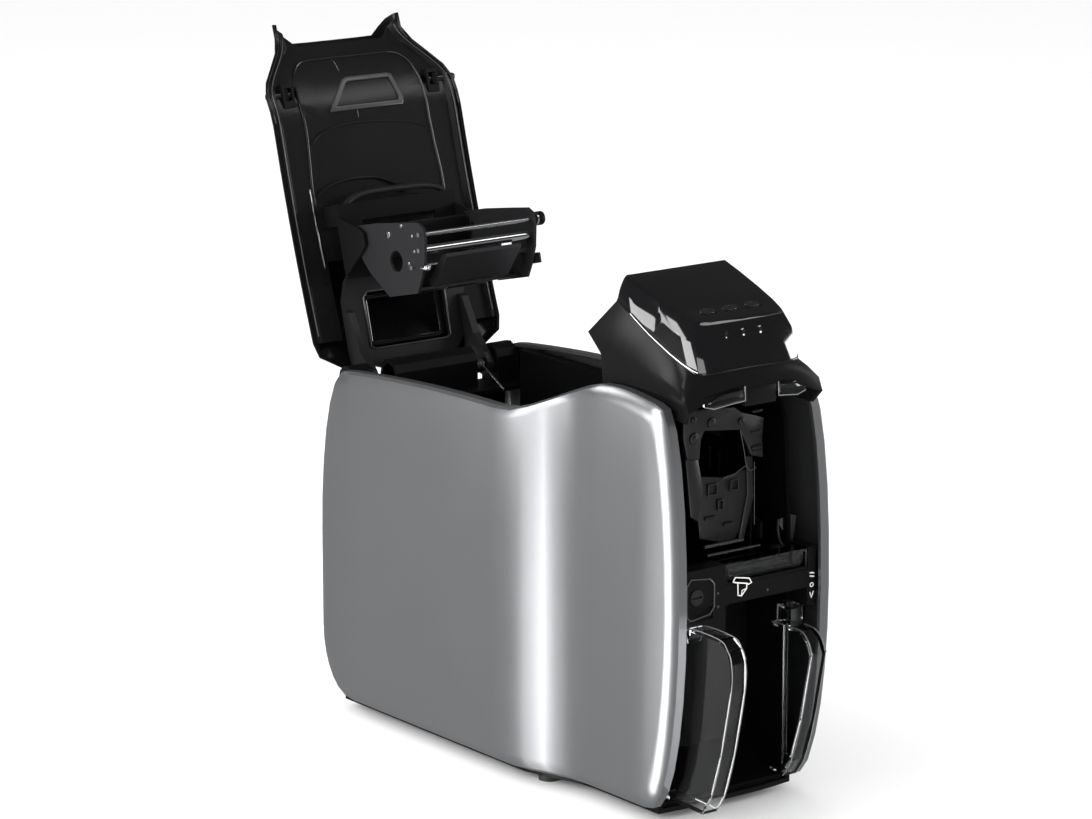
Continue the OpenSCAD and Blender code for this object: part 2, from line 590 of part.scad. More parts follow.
module print_head() color("#8d9094") lid_place() {
    along_x(-30, 30) polygon([[84.4, 136.4], [86.6, 136.4], [103.4, 156], [103.4, 180], [97.6, 180],
        [97.6, 159], [84.4, 141.4]]);
    for (z = [164:4:176]) span([-30, 91, z], [30, 97.7, z + 1.2]);
}
module head_rods() color("#c9cbce") lid_place() {
    shaft_x(-head_x - 4, head_x + 4, 70, 140.6, rod_r);
    shaft_x(-head_x - 4, head_x + 4, 90, 154, rod_r);
    shaft_x(head_x + 3.4, head_x + 9, 70, 140.6, 4.4);
}
module peel_roller() color("#e4e6e8") lid_place() {
    shaft_x(-head_x + 0.8, head_x - 0.8, tip_y, tip_z, peel_r);
    shaft_x(-head_x - 3, head_x + 3, tip_y, tip_z, 1.5);
}

// ---- visor, drawn open ----
function toward(p) = let (v = [-p[0], min(max(p[1], -142), -90) - p[1], 0]) p + v * visor_wall / norm(v);
function widened(h) = [for (p = h) [p[0] * front_w / 129, p[1], p[2]]];
function half_path(h) = concat(mirrored(h), [for (i = [len(h) - 2:-1:0]) h[i]]);
function visor_ring(h) = let (outer = half_path(h)) concat(outer, reversed([for (p = outer) toward(p)]));
function lifted(h, d) = [for (p = h) [p[0], p[1], p[2] + d]];
top_slope = atan2(20.8, 62.1);
skirt_low = [[51.5, -91, 266], [51.5, -105, 262], [50.8, -125, 258], [49.4, -150, 256], [50.5, -170, 254.5],
    [53, -175.5, 262], [32, -174.6, 269.6], [0, -175, 272]];
skirt_a = [[52, -90, 284], [51.8, -105, 276], [51, -125, 269], [49.6, -148, 265], [50.4, -166, 263.6],
    [52.8, -172.2, 270], [31, -173.4, 275], [0, -174.2, 276.6]];
skirt_b = [[52.5, -77.6, 296], [52, -98, 295], [50.6, -118, 288], [48.6, -142, 280], [48.4, -160, 276],
    [46.4, -168.6, 277.4], [30, -172.4, 279.6], [0, -173.4, 280.6]];
seam = [[45, -97, 318], [46.4, -112, 311], [46, -130, 301], [43.8, -149, 291], [41.6, -161.4, 285.4],
    [39, -167.6, 283.2], [29, -170.6, 283], [0, -171.6, 283.4]];
crown = [[visor_top_x + 1.4, -98, 331], [visor_top_x + 1.2, -112, 327], [visor_top_x + 0.8, -130, 321],
    [visor_top_x - 0.4, -147, 315.4],
    [visor_top_x - 1.6, -156, 312.4], [visor_top_x - 3.2, -160.6, 310.8], [20, -161.4, 310.6],
        [0, -161.6, 310.6]];
plate = [[visor_top_x, -98.2, 333], [visor_top_x, -112, 328.4], [visor_top_x - 0.2, -130, 322.3],
    [visor_top_x - 1.4, -147, 316.6],
    [visor_top_x - 2.8, -156, 313.6], [visor_top_x - 5, -159.6, 312.4]];
function lid_of(h, d) = concat(mirrored(lifted(h, d)), reversed(lifted(h, d)));
module top_place(x) translate([x, -149, 315.9]) rotate([top_slope, 0, 0]) children();
module visor_cap() color("#0c0c0e") difference() {
    union() {
        skin([visor_ring([for (i = [0:7])
            i < 6 ? plate[i] : [i == 6 ? 18 : 0, -159.8, 312.4]]), visor_ring(crown),
                visor_ring(widened(lifted(seam, 0.3)))]);
        skin([lid_of(plate, 0), lid_of(plate, -2.6)]);
        along_y(-99.6, -97.6) polygon([[-41, 317], [41, 317], [33, 330], [-33, 330]]);
    }
    for (x = [-17, 0.5, 18]) top_place(x) {
        span([-button_w / 2 - 0.2, -2.4, -9], [button_w / 2 + 0.2, 2.4, 9]);
    }
    for (x = [-15, -1.5, 12]) translate([x, -163.4, 304.4]) rotate([72, 0, 0])
        cylinder(h = 8, r = 1.25, center = true, $fn = 24);
}
module button() {
    span([-button_w / 2, -2.2, -4.2], [button_w / 2, 2.2, button_lift]);
    span([-button_w / 2 - 1.4, -3.6, -4.2], [button_w / 2 + 1.4, 3.6, -3.2]);
}
module button_left() color("#2c2c30") top_place(-17) button();
module button_middle() color("#2c2c30") top_place(0.5) button();
module button_right() color("#2c2c30") top_place(18) button();
module status_lights() color("#d8d8d8") for (x = [-15, -1.5, 12]) translate([x, -163.4, 304.4])
    rotate([72, 0, 0])
    cylinder(h = 2.8, r = 1.2, center = true, $fn = 24);
module visor_skirt() color("#1c1c1f") {
    skin([for (ring = [seam, skirt_b, skirt_a, skirt_low]) visor_ring(widened(ring))]);
    pair() along_x(wall_out + 1.4, wall_out + 3.8) difference() {
        union() {
            polygon([[-92, 282], [-93, 262], [-76, 222], [-63, 214], [-66, 204.4], [-76, 205.4],
                [-128, 264], [-126, 276]]);
            translate([visor_y, visor_z]) circle(7.5);
        }
        translate([visor_y, visor_z]) circle(visor_pin_r + run_gap);
    }
    span([-9, -172.4, 266.2], [16, -169, 277.8]);
}
module visor_lip() color("#8a9096") difference() {
    translate([0, 0, 266.6]) linear_extrude(10.6) polygon([[38, -166.4], [30, -170.4], [0, -171.4],
        [-30, -170.4], [-38, -166.4],
        [-38, -164.4], [-30, -168.6], [0, -169.6], [30, -168.6], [38, -164.4]]);
    span([-9.3, -180, 260], [16.3, -160, 280]);
}

centre_y = 31.3;      // middle of the whole printer, lid open, front to back
module placed() translate([0, -centre_y, 0]) children();

placed() base_tray();
placed() rubber_feet();
placed() left_side_panel();
placed() right_side_panel();
placed() rear_panel();
placed() left_frame();
placed() right_frame();
placed() divider_wall();
placed() card_guide();
placed() nose_cover();
placed() hopper_left_wall();
placed() hopper_right_wall();
placed() hopper_floor();
placed() hopper_bracket();
placed() front_bezel();
placed() slot_light_bar();
placed() output_tray();
placed() left_output_guard();
placed() right_output_guard();
placed() lock_screw();
placed() power_inlet();
placed() power_switch();
placed() usb_socket();
placed() main_board();
placed() power_supply();
placed() feed_motor();
placed() motor_pinion();
placed() idler_gear();
placed() platen_gear();
placed() feed_gear();
placed() platen_roller();
placed() feed_roller();
placed() exit_roller();
placed() pick_roller();
placed() drive_belt();
placed() ribbon_motor();
placed() ribbon_pinion();
placed() takeup_gear();
placed() takeup_spindle();
placed() supply_spindle();
placed() card_weight();
placed() lid_hinge_pins();
placed() lid_shell();
placed() lid_liner();
placed() lid_hinge_frame();
placed() left_latch();
placed() right_latch();
placed() head_bracket();
placed() head_cradle();
placed() print_head();
placed() head_rods();
placed() peel_roller();
placed() visor_cap();
placed() visor_skirt();
placed() visor_lip();
placed() button_left();
placed() button_middle();
placed() button_right();
placed() lid_spring();
placed() status_lights();
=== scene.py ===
"""Looks of a desktop card printer: satin side panels, glossy visor, open lid with the print head."""
import math

import bpy
from bpy.props import FloatProperty, FloatVectorProperty, PointerProperty
from mathutils import Matrix, Vector


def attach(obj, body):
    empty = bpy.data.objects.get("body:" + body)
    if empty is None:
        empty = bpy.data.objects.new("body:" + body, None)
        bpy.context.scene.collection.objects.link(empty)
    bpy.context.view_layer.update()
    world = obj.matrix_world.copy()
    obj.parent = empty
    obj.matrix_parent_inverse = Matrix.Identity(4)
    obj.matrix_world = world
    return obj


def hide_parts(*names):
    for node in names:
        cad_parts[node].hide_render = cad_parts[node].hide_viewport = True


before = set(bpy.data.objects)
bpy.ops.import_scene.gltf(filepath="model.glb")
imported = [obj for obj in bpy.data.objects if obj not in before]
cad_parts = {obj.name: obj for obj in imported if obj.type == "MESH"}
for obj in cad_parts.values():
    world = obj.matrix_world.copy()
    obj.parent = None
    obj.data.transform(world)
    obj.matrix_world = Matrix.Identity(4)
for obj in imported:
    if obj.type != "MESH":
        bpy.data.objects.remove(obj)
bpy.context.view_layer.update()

bl_info = {
    "name": "Card Printer Looks",
    "version": (1, 0, 0),
    "blender": (4, 5, 0),
    "location": "View3D > Sidebar > Printer",
    "description": "Builds the finished surfaces, small details and studio of a desktop card printer",
    "category": "Object",
}

SHIFT = -0.0313          # added to the drawing's Y to reach the frame, in metres
LID_AXIS = Vector((0.0, 0.160 + SHIFT, 0.220))
LID_OPEN = math.radians(105.0)
CAMERA_TURN = math.radians(-37.58)
CAMERA_RISE = math.radians(13.21)
VIEW_CENTRE = (-25.2, 0, 228.7)      # what the camera aims at, in the drawing's millimetres
SENSOR_WIDTH = 36.0
FLOOR_SIZE = 14.0
ROUND = 60.0             # beads are shaded smooth across angles up to this, in degrees
BUMP_DISTANCE = 0.0002   # depth that a bump of full strength stands for, in metres
LATCH_END = -0.0738      # the left latch reaches no further out than this
MARK_FACE = -171.15      # Y of the bezel's printed marks
GATE_FACE = -152         # Y of the card gate's front
BUTTON_SLOPE = math.radians(18.5)
BELT_SHARE = 0.6         # how far up the visor cap's flank its two facets meet
FLAT_HALF = 22           # the cap stays as it is this near to its middle, in millimetres
LENS_AXIS = (0, -0.94, 0.33)
HORIZON = (-0.12, 0.1)   # reflections go from pale to dark between these heights
DARK_SHARE = 0.2         # of the pale part's strength

# name, place, aim, width, watts, height
LIGHTS = (
    ("left_softbox", (-1.98, 0.08, 0.0), (0, -0.09, 0.0), 0.8, 62.0, 3.4),
    ("flank_panel", (-1.72, 1.0, 0.62), (0, -0.1, 0.3), 0.5, 5.0, 0.5),
    ("upper_left_panel", (-1.6, 0.2, 1.35), (0, -0.1, 0.3), 0.8, 9.0, 0.55),
    ("back_softbox", (-0.9, 1.9, 1.5), (0, 0, 0.2), 1.0, 10.0, 0.6),
    ("right_panel", (2.2, -0.7, 0.5), (0, -0.1, 0.3), 1.1, 32.0, 0.9),
    ("rod_panel", (1.25, -1.0, 1.7), (0, 0.1, 0.35), 0.4, 1.4, 0.4),
    ("front_panel", (-0.2, -2.2, -0.3), (0, -0.1, 0.0), 0.7, 14.0, 2.2),
)


# ---- small helpers ----
def mm(x, y, z):
    """Point given in millimetres in the body's own drawing, as metres in the frame."""
    return Vector((x / 1000.0, y / 1000.0 + SHIFT, z / 1000.0))


def deselect():
    if bpy.context.object and bpy.context.object.mode != "OBJECT":
        bpy.ops.object.mode_set(mode="OBJECT")
    bpy.ops.object.select_all(action="DESELECT")


def pick(piece):
    deselect()
    piece.select_set(True)
    bpy.context.view_layer.objects.active = piece
    return piece


def finish_piece(piece, name, body, material, smooth=35.0):
    """Puts the piece's place into its mesh, smooths it and gives it its material and its body."""
    pick(piece)
    bpy.ops.object.transform_apply(location=True, rotation=True, scale=True)
    piece.name = name
    piece.data.name = name
    if smooth:
        bpy.ops.object.shade_smooth_by_angle(angle=math.radians(smooth))
    piece.data.materials.clear()
    piece.data.materials.append(MATERIALS[material])
    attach(piece, body)
    deselect()
    return piece


def copy_node(node, merge=0.00002):
    """A merged copy of a CAD node's mesh to work on."""
    piece = bpy.data.objects.new(node + "_skin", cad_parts[node].data.copy())
    bpy.context.collection.objects.link(piece)
    pick(piece)
    if piece.data.has_custom_normals:
        bpy.ops.mesh.customdata_custom_splitnormals_clear()
    bpy.ops.object.mode_set(mode="EDIT")
    bpy.ops.mesh.select_all(action="SELECT")
    bpy.ops.mesh.remove_doubles(threshold=merge)
    bpy.ops.mesh.tris_convert_to_quads(face_threshold=math.radians(8), shape_threshold=math.radians(60))
    bpy.ops.object.mode_set(mode="OBJECT")
    return piece


def add_modifier(piece, kind, **values):
    pick(piece)
    modifier = piece.modifiers.new(kind.lower(), kind)
    for key, value in values.items():
        setattr(modifier, key, value)
    bpy.ops.object.modifier_apply(modifier=modifier.name)


def clothe(material, *nodes):
    """Gives CAD nodes that keep their own shape a finished material."""
    for node in nodes:
        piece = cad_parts[node]
        piece.data.materials.clear()
        piece.data.materials.append(MATERIALS[material])


def break_edges(piece, width, angle, segments=2):
    """Bevels every edge sharper than the angle, in degrees."""
    add_modifier(piece, "BEVEL", width=width, segments=segments, limit_method="ANGLE",
                 angle_limit=math.radians(angle))


def ease(t):
    u = min(max(t, 0.0), 1.0)
    return u * u * (3 - 2 * u)


def edge_height(y):
    """Height of the side panels' top edge at y, in millimetres."""
    return 241 - 8 * (max(y, 0.0) / 155) ** 2 + 28 * ease((-16 - y) / 94) - 5 * ease((-118 - y) / 50)


def liner_height(y):
    """Height of the lid liner's visible face, lid closed."""
    return edge_height(max(y, -78.0)) + 3.9


def lid_half_width(y):
    """Half the lid's width at y."""
    return 76.5 - 25.3 * ease((-36 - y) / 42)


def on_liner(x, y, lift=0.0):
    """Point on the liner's visible face; lift stands off towards the user once the lid is open."""
    return mm(x, y, liner_height(y) - lift)


def start_outline(points):
    """Flat face over an outline, left in edit mode with everything selected."""
    deselect()
    bpy.ops.mesh.primitive_circle_add(vertices=len(points), fill_type="NGON")
    piece = bpy.context.object
    for vertex, point in zip(piece.data.vertices, points):
        vertex.co = point
    bpy.ops.object.mode_set(mode="EDIT")
    bpy.ops.mesh.select_all(action="SELECT")
    return piece


def push_out(piece, push, bevel):
    """Pushes a flat face out to its thickness and breaks its edges."""
    bpy.ops.mesh.extrude_region_move(TRANSFORM_OT_translate={"value": push})
    bpy.ops.mesh.select_all(action="SELECT")
    bpy.ops.mesh.normals_make_consistent(inside=False)
    bpy.ops.object.mode_set(mode="OBJECT")
    if bevel:
        break_edges(piece, bevel, 30)
    return piece


def face_line(y, points):
    """Points of an outline that lies across the body at y."""
    return [mm(x, y, z) for x, z in points]


def liner_line(lift, points):
    """Points of a line that follows the liner's visible face."""
    return [on_liner(x, y, lift) for x, y in points]


def plate_piece(points, push, bevel=0.0):
    """Flat piece from an outline, pushed out to its thickness."""
    return push_out(start_outline(points), push, bevel)


def frame_piece(points, wall, push, bevel=0.0):
    """Ring of even width from an outline, pushed out to its thickness."""
    piece = start_outline(points)
    bpy.ops.mesh.inset(thickness=wall)
    bpy.ops.mesh.delete(type="FACE")
    bpy.ops.mesh.select_all(action="SELECT")
    return push_out(piece, push, bevel)


def bead_piece(points, radius, closed=False, steps=2):
    """Round bead along a line of points."""
    deselect()
    curve = bpy.data.curves.new("bead", "CURVE")
    curve.dimensions = "3D"
    curve.bevel_depth = radius
    curve.bevel_resolution = steps
    curve.use_fill_caps = True
    line = curve.splines.new("POLY")
    line.points.add(len(points) - 1)
    for place, point in zip(line.points, points):
        place.co = (*point, 1.0)
    line.use_cyclic_u = closed
    piece = bpy.data.objects.new("bead", curve)
    bpy.context.collection.objects.link(piece)
    pick(piece)
    bpy.ops.object.convert(target="MESH")
    return bpy.context.object


def smooth_line(points, steps=6):
    """Points of a smooth line through the given ones."""
    out = []
    for i in range(len(points) - 1):
        a, b = points[max(i - 1, 0)], points[i]
        c, d = points[i + 1], points[min(i + 2, len(points) - 1)]
        for k in range(steps):
            t = k / steps
            out.append(0.5 * ((2 * b) + (c - a) * t + (2 * a - 5 * b + 4 * c - d) * t * t
                              + (3 * b - a - 3 * c + d) * t ** 3))
    out.append(points[-1])
    return out


def pin_piece(place, axis, radius, length, sides=24, bevel=0.0):
    """Cylinder centred on place along axis."""
    deselect()
    bpy.ops.mesh.primitive_cylinder_add(vertices=sides, radius=radius, depth=length)
    piece = bpy.context.object
    if bevel:
        break_edges(piece, bevel, 40)
    turn = Vector(axis).to_track_quat("Z", "Y").to_matrix().to_4x4()
    piece.data.transform(Matrix.Translation(place) @ turn)
    return piece


def block_piece(low, high, bevel=0.0):
    """Box between two corners given in millimetres of the body's drawing."""
    a, b = mm(*low), mm(*high)
    deselect()
    bpy.ops.mesh.primitive_cube_add(size=1.0)
    piece = bpy.context.object
    piece.data.transform(Matrix.Translation((a + b) / 2) @ Matrix.Diagonal((*(b - a), 1.0)))
    if bevel:
        break_edges(piece, bevel, 40)
    return piece


def join(pieces):
    deselect()
    for piece in pieces:
        piece.select_set(True)
    bpy.context.view_layer.objects.active = pieces[0]
    bpy.ops.object.join()
    return pieces[0]


def with_lid(piece):
    """Swings a piece drawn with the lid closed to where the lid stands open."""
    turn = Matrix.Translation(LID_AXIS) @ Matrix.Rotation(-LID_OPEN, 4, "X") @ Matrix.Translation(-LID_AXIS)
    piece.data.transform(turn)
    return piece


# ---- shader groups and materials ----
def new_group(name, inputs, outputs):
    group = bpy.data.node_groups.new(name, "ShaderNodeTree")
    for label, kind, default in inputs:
        socket = group.interface.new_socket(name=label, in_out="INPUT", socket_type=kind)
        socket.default_value = default
    for label, kind in outputs:
        group.interface.new_socket(name=label, in_out="OUTPUT", socket_type=kind)
    return group, group.nodes.new("NodeGroupInput"), group.nodes.new("NodeGroupOutput")


def build_grain_group():
    """Moulded grain: a height from two sizes of noise on the object's own coordinates."""
    group, start, end = new_group("moulded_grain",
                                  [("Scale", "NodeSocketFloat", 900.0), ("Depth", "NodeSocketFloat", 1.0)],
                                  [("Height", "NodeSocketFloat")])
    place = group.nodes.new("ShaderNodeTexCoord")
    fine = group.nodes.new("ShaderNodeTexNoise")
    fine.inputs["Detail"].default_value = 3.0
    cells = group.nodes.new("ShaderNodeTexVoronoi")
    mix = group.nodes.new("ShaderNodeMath")
    mix.operation = "MULTIPLY_ADD"
    mix.inputs[1].default_value = 0.6
    scale = group.nodes.new("ShaderNodeMath")
    scale.operation = "MULTIPLY"
    link = group.links.new
    link(place.outputs["Object"], fine.inputs["Vector"])
    link(place.outputs["Object"], cells.inputs["Vector"])
    link(start.outputs["Scale"], fine.inputs["Scale"])
    link(start.outputs["Scale"], cells.inputs["Scale"])
    link(cells.outputs["Distance"], mix.inputs[0])
    link(fine.outputs["Fac"], mix.inputs[2])
    link(mix.outputs[0], scale.inputs[0])
    link(start.outputs["Depth"], scale.inputs[1])
    link(scale.outputs[0], end.inputs["Height"])
    return group


def build_handled_group():
    """Handled surface: roughness and shade that drift a little, as on a surface that has been wiped."""
    group, start, end = new_group("handled_surface",
                                  [("Rough", "NodeSocketFloat", 0.4), ("Drift", "NodeSocketFloat", 0.05),
                                   ("Scale", "NodeSocketFloat", 14.0),
                                   ("Colour", "NodeSocketColor", (0.5, 0.5, 0.5, 1.0)),
                                   ("Shade", "NodeSocketFloat", 0.06)],
                                  [("Roughness", "NodeSocketFloat"), ("Colour", "NodeSocketColor")])
    place = group.nodes.new("ShaderNodeTexCoord")
    noise = group.nodes.new("ShaderNodeTexNoise")
    noise.inputs["Detail"].default_value = 4.0
    noise.inputs["Roughness"].default_value = 0.6
    centre = group.nodes.new("ShaderNodeMath")
    centre.operation = "SUBTRACT"
    centre.inputs[1].default_value = 0.5
    rough = group.nodes.new("ShaderNodeMath")
    rough.operation = "MULTIPLY_ADD"
    shade = group.nodes.new("ShaderNodeMath")
    shade.operation = "MULTIPLY_ADD"
    shade.inputs[2].default_value = 1.0
    tint = group.nodes.new("ShaderNodeMix")
    tint.data_type = "RGBA"
    tint.blend_type = "MULTIPLY"
    tint.inputs["Factor"].default_value = 1.0
    link = group.links.new
    link(place.outputs["Object"], noise.inputs["Vector"])
    link(start.outputs["Scale"], noise.inputs["Scale"])
    link(noise.outputs["Fac"], centre.inputs[0])
    link(centre.outputs[0], rough.inputs[0])
    link(start.outputs["Drift"], rough.inputs[1])
    link(start.outputs["Rough"], rough.inputs[2])
    link(centre.outputs[0], shade.inputs[0])
    link(start.outputs["Shade"], shade.inputs[1])
    link(start.outputs["Colour"], tint.inputs[6])
    link(shade.outputs[0], tint.inputs[7])
    link(rough.outputs[0], end.inputs["Roughness"])
    link(tint.outputs[2], end.inputs["Colour"])
    return group


def build_brushed_group():
    """Brushed metal: fine streaks stretched along one axis of the object."""
    group, start, end = new_group("brushed_streaks",
                                  [("Across", "NodeSocketFloat", 1400.0), ("Along", "NodeSocketFloat", 20.0)],
                                  [("Height", "NodeSocketFloat")])
    place = group.nodes.new("ShaderNodeTexCoord")
    stretch = group.nodes.new("ShaderNodeCombineXYZ")
    scaled = group.nodes.new("ShaderNodeVectorMath")
    scaled.operation = "MULTIPLY"
    noise = group.nodes.new("ShaderNodeTexNoise")
    noise.inputs["Scale"].default_value = 1.0
    noise.inputs["Detail"].default_value = 2.0
    link = group.links.new
    link(start.outputs["Along"], stretch.inputs["X"])
    link(start.outputs["Across"], stretch.inputs["Y"])
    link(start.outputs["Across"], stretch.inputs["Z"])
    link(place.outputs["Object"], scaled.inputs[0])
    link(stretch.outputs[0], scaled.inputs[1])
    link(scaled.outputs[0], noise.inputs["Vector"])
    link(noise.outputs["Fac"], end.inputs["Height"])
    return group


GROUPS = {}
MATERIALS = {}


def make_material(name, colour, rough, metallic=0.0, drift=0.06, shade=0.06, grain=0.0, grain_scale=900.0,
                  streaks=0.0, coat=0.0, coat_rough=0.05, glass=False, ior=1.5, drift_scale=14.0, emit=0.0,
                  specular=0.5):
    material = bpy.data.materials.new(name)
    material.use_nodes = True
    nodes, links = material.node_tree.nodes, material.node_tree.links
    shader = nodes["Principled BSDF"]
    handled = nodes.new("ShaderNodeGroup")
    handled.node_tree = GROUPS["handled"]
    handled.inputs["Rough"].default_value = rough
    handled.inputs["Drift"].default_value = drift
    handled.inputs["Scale"].default_value = drift_scale
    handled.inputs["Colour"].default_value = (*colour, 1.0)
    handled.inputs["Shade"].default_value = shade
    links.new(handled.outputs["Roughness"], shader.inputs["Roughness"])
    links.new(handled.outputs["Colour"], shader.inputs["Base Color"])
    shader.inputs["Metallic"].default_value = metallic
    shader.inputs["IOR"].default_value = ior
    shader.inputs["Specular IOR Level"].default_value = specular
    if coat:
        shader.inputs["Coat Weight"].default_value = coat
        shader.inputs["Coat Roughness"].default_value = coat_rough
    if glass:
        shader.inputs["Transmission Weight"].default_value = 1.0
    if grain or streaks:
        bump = nodes.new("ShaderNodeBump")
        bump.inputs["Distance"].default_value = BUMP_DISTANCE
        source = nodes.new("ShaderNodeGroup")
        if streaks:
            source.node_tree = GROUPS["streaks"]
            bump.inputs["Strength"].default_value = streaks
        else:
            source.node_tree = GROUPS["grain"]
            source.inputs["Scale"].default_value = grain_scale
            bump.inputs["Strength"].default_value = grain
        links.new(source.outputs["Height"], bump.inputs["Height"])
        links.new(bump.outputs["Normal"], shader.inputs["Normal"])
    if emit:
        shader.inputs["Emission Color"].default_value = (*colour, 1.0)
        shader.inputs["Emission Strength"].default_value = emit
    MATERIALS[name] = material


class PrinterColours(bpy.types.PropertyGroup):
    """Colours and sheen of the printer's finishes."""
    panel_colour: FloatVectorProperty(name="Panel Colour", description="Satin paint of the side panels",
                                      subtype="COLOR", default=(0.33, 0.335, 0.345), min=0.0, max=1.0)
    panel_rough: FloatProperty(name="Panel Roughness", description="Sheen of the side panels' paint",
                               default=0.3, min=0.0, max=1.0, subtype="FACTOR")
    black_colour: FloatVectorProperty(name="Body Black", description="Moulded black plastic", subtype="COLOR",
                                      default=(0.004, 0.004, 0.0043), min=0.0, max=1.0)
    skirt_colour: FloatVectorProperty(name="Visor Skirt", description="Satin plastic of the visor's skirt",
                                      subtype="COLOR", default=(0.005, 0.005, 0.0054), min=0.0, max=1.0)


class PrinterStage(bpy.types.PropertyGroup):
    """Camera and light."""
    distance: FloatProperty(name="Camera Distance", description="From the camera to the middle of the view",
                            default=2.6617, unit="LENGTH", min=0.5)
    lens: FloatProperty(name="Lens", description="Focal length in millimetres on a 36 mm sensor",
                        default=138.46, min=20.0)
    fill: FloatProperty(name="Room Light", description="Strength of the even light on matt surfaces",
                        default=1.08, min=0.0)
    gloss_fill: FloatProperty(name="Room Reflection", description="Strength of the even light in reflections",
                              default=0.26, min=0.0)


class PRINTER_OT_materials(bpy.types.Operator):
    """Builds the shader groups and every material of the printer"""
    bl_idname = "printer.materials"
    bl_label = "Build Materials"

    def execute(self, context):
        colours = context.scene.printer_colours
        GROUPS["grain"] = build_grain_group()
        GROUPS["handled"] = build_handled_group()
        GROUPS["streaks"] = build_brushed_group()
        black = tuple(colours.black_colour)
        make_material("satin_silver", tuple(colours.panel_colour), colours.panel_rough, metallic=0.92,
                      drift=0.04, shade=0.04, grain=0.05, grain_scale=2600.0)
        make_material("skirt_satin", tuple(colours.skirt_colour), 0.2, drift=0.06, grain=0.05,
                      grain_scale=2600.0, specular=0.15)
        make_material("gloss_black", (0.004, 0.004, 0.0045), 0.07, coat=0.8, coat_rough=0.03, drift=0.03,
                      grain=0.012, grain_scale=300.0)
        make_material("lid_black", (0.003, 0.003, 0.0033), 0.2, drift=0.08, grain=0.05, grain_scale=1200.0,
                      specular=0.3)
        make_material("liner_black", (0.005, 0.005, 0.0053), 0.24, drift=0.08, grain=0.08, grain_scale=1500.0,
                      specular=0.45)
        make_material("body_black", black, 0.34, drift=0.08, grain=0.025, grain_scale=1600.0, specular=0.12)
        make_material("inner_black", (0.002, 0.002, 0.0022), 0.42, drift=0.08, grain=0.025,
                      grain_scale=1300.0, specular=0.12)
        # mid grey metal: the colour of grey trim, and a painted highlight where thin pale beads are laid
        # along edges and outlines
        make_material("grey_trim_and_painted_highlight", (0.09, 0.09, 0.095), 0.25, metallic=0.6, drift=0.06, grain=0.03)
        make_material("hinge_metal", (0.02, 0.02, 0.0215), 0.34, metallic=0.5, streaks=0.12)
        make_material("bright_steel", (0.62, 0.63, 0.64), 0.2, metallic=1.0, streaks=0.08)
        make_material("head_sheet", (0.025, 0.025, 0.027), 0.34, metallic=0.6, streaks=0.08)
        make_material("head_block", (0.06, 0.06, 0.065), 0.3, metallic=0.8, streaks=0.1)
        make_material("chrome_bright", (0.8, 0.81, 0.82), 0.08, metallic=1.0, drift=0.03, streaks=0.03)
        make_material("clear_guard", (0.93, 0.94, 0.95), 0.03, drift=0.02, shade=0.01, glass=True, ior=1.3)
        # grey metal beads that stand in for the bright edges of clear parts: a painted highlight
        make_material("painted_glass_edge_highlight", (0.22, 0.225, 0.23), 0.08, metallic=0.3, drift=0.03, grain=0.02)
        make_material("bracket_grey", (0.007, 0.007, 0.0075), 0.35, drift=0.08, grain=0.1, grain_scale=1400.0)
        make_material("smoked_clear", (0.42, 0.44, 0.46), 0.06, drift=0.02, shade=0.02, glass=True, ior=1.45)
        make_material("button_grey", (0.012, 0.012, 0.013), 0.2, drift=0.05, grain=0.06, grain_scale=2000.0)
        make_material("light_lens", (0.85, 0.87, 0.88), 0.12, drift=0.03, grain=0.05, emit=0.5)
        make_material("print_white", (0.82, 0.82, 0.8), 0.45, drift=0.05, shade=0.05, grain=0.05)
        make_material("rubber_dark", (0.01, 0.01, 0.01), 0.7, drift=0.1, grain=0.4, grain_scale=1800.0)
        make_material("gear_white", (0.62, 0.62, 0.58), 0.42, drift=0.08, grain=0.1)
        make_material("brass_turned", (0.62, 0.45, 0.18), 0.25, metallic=1.0, streaks=0.1)
        make_material("motor_grey", (0.2, 0.205, 0.21), 0.35, metallic=0.8, grain=0.06)
        make_material("board_green", (0.01, 0.09, 0.04), 0.3, drift=0.1, shade=0.2, grain=0.1,
                      grain_scale=500.0, drift_scale=120.0)
        make_material("supply_sheet", (0.45, 0.46, 0.47), 0.35, metallic=1.0, streaks=0.15)
        make_material("floor_white", (0.93, 0.93, 0.93), 0.75, drift=0.05, shade=0.01, grain=0.02)
        return {"FINISHED"}


class PRINTER_OT_side_panels(bpy.types.Operator):
    """Smooths the two satin side panels"""
    bl_idname = "printer.side_panels"
    bl_label = "Side Panels"

    def execute(self, context):
        for side in ("left", "right"):
            node = side + "_side_panel"
            piece = copy_node(node)
            finish_piece(piece, side + "_panel_skin", "chassis", "satin_silver", smooth=32.0)
            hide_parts(node)
        return {"FINISHED"}


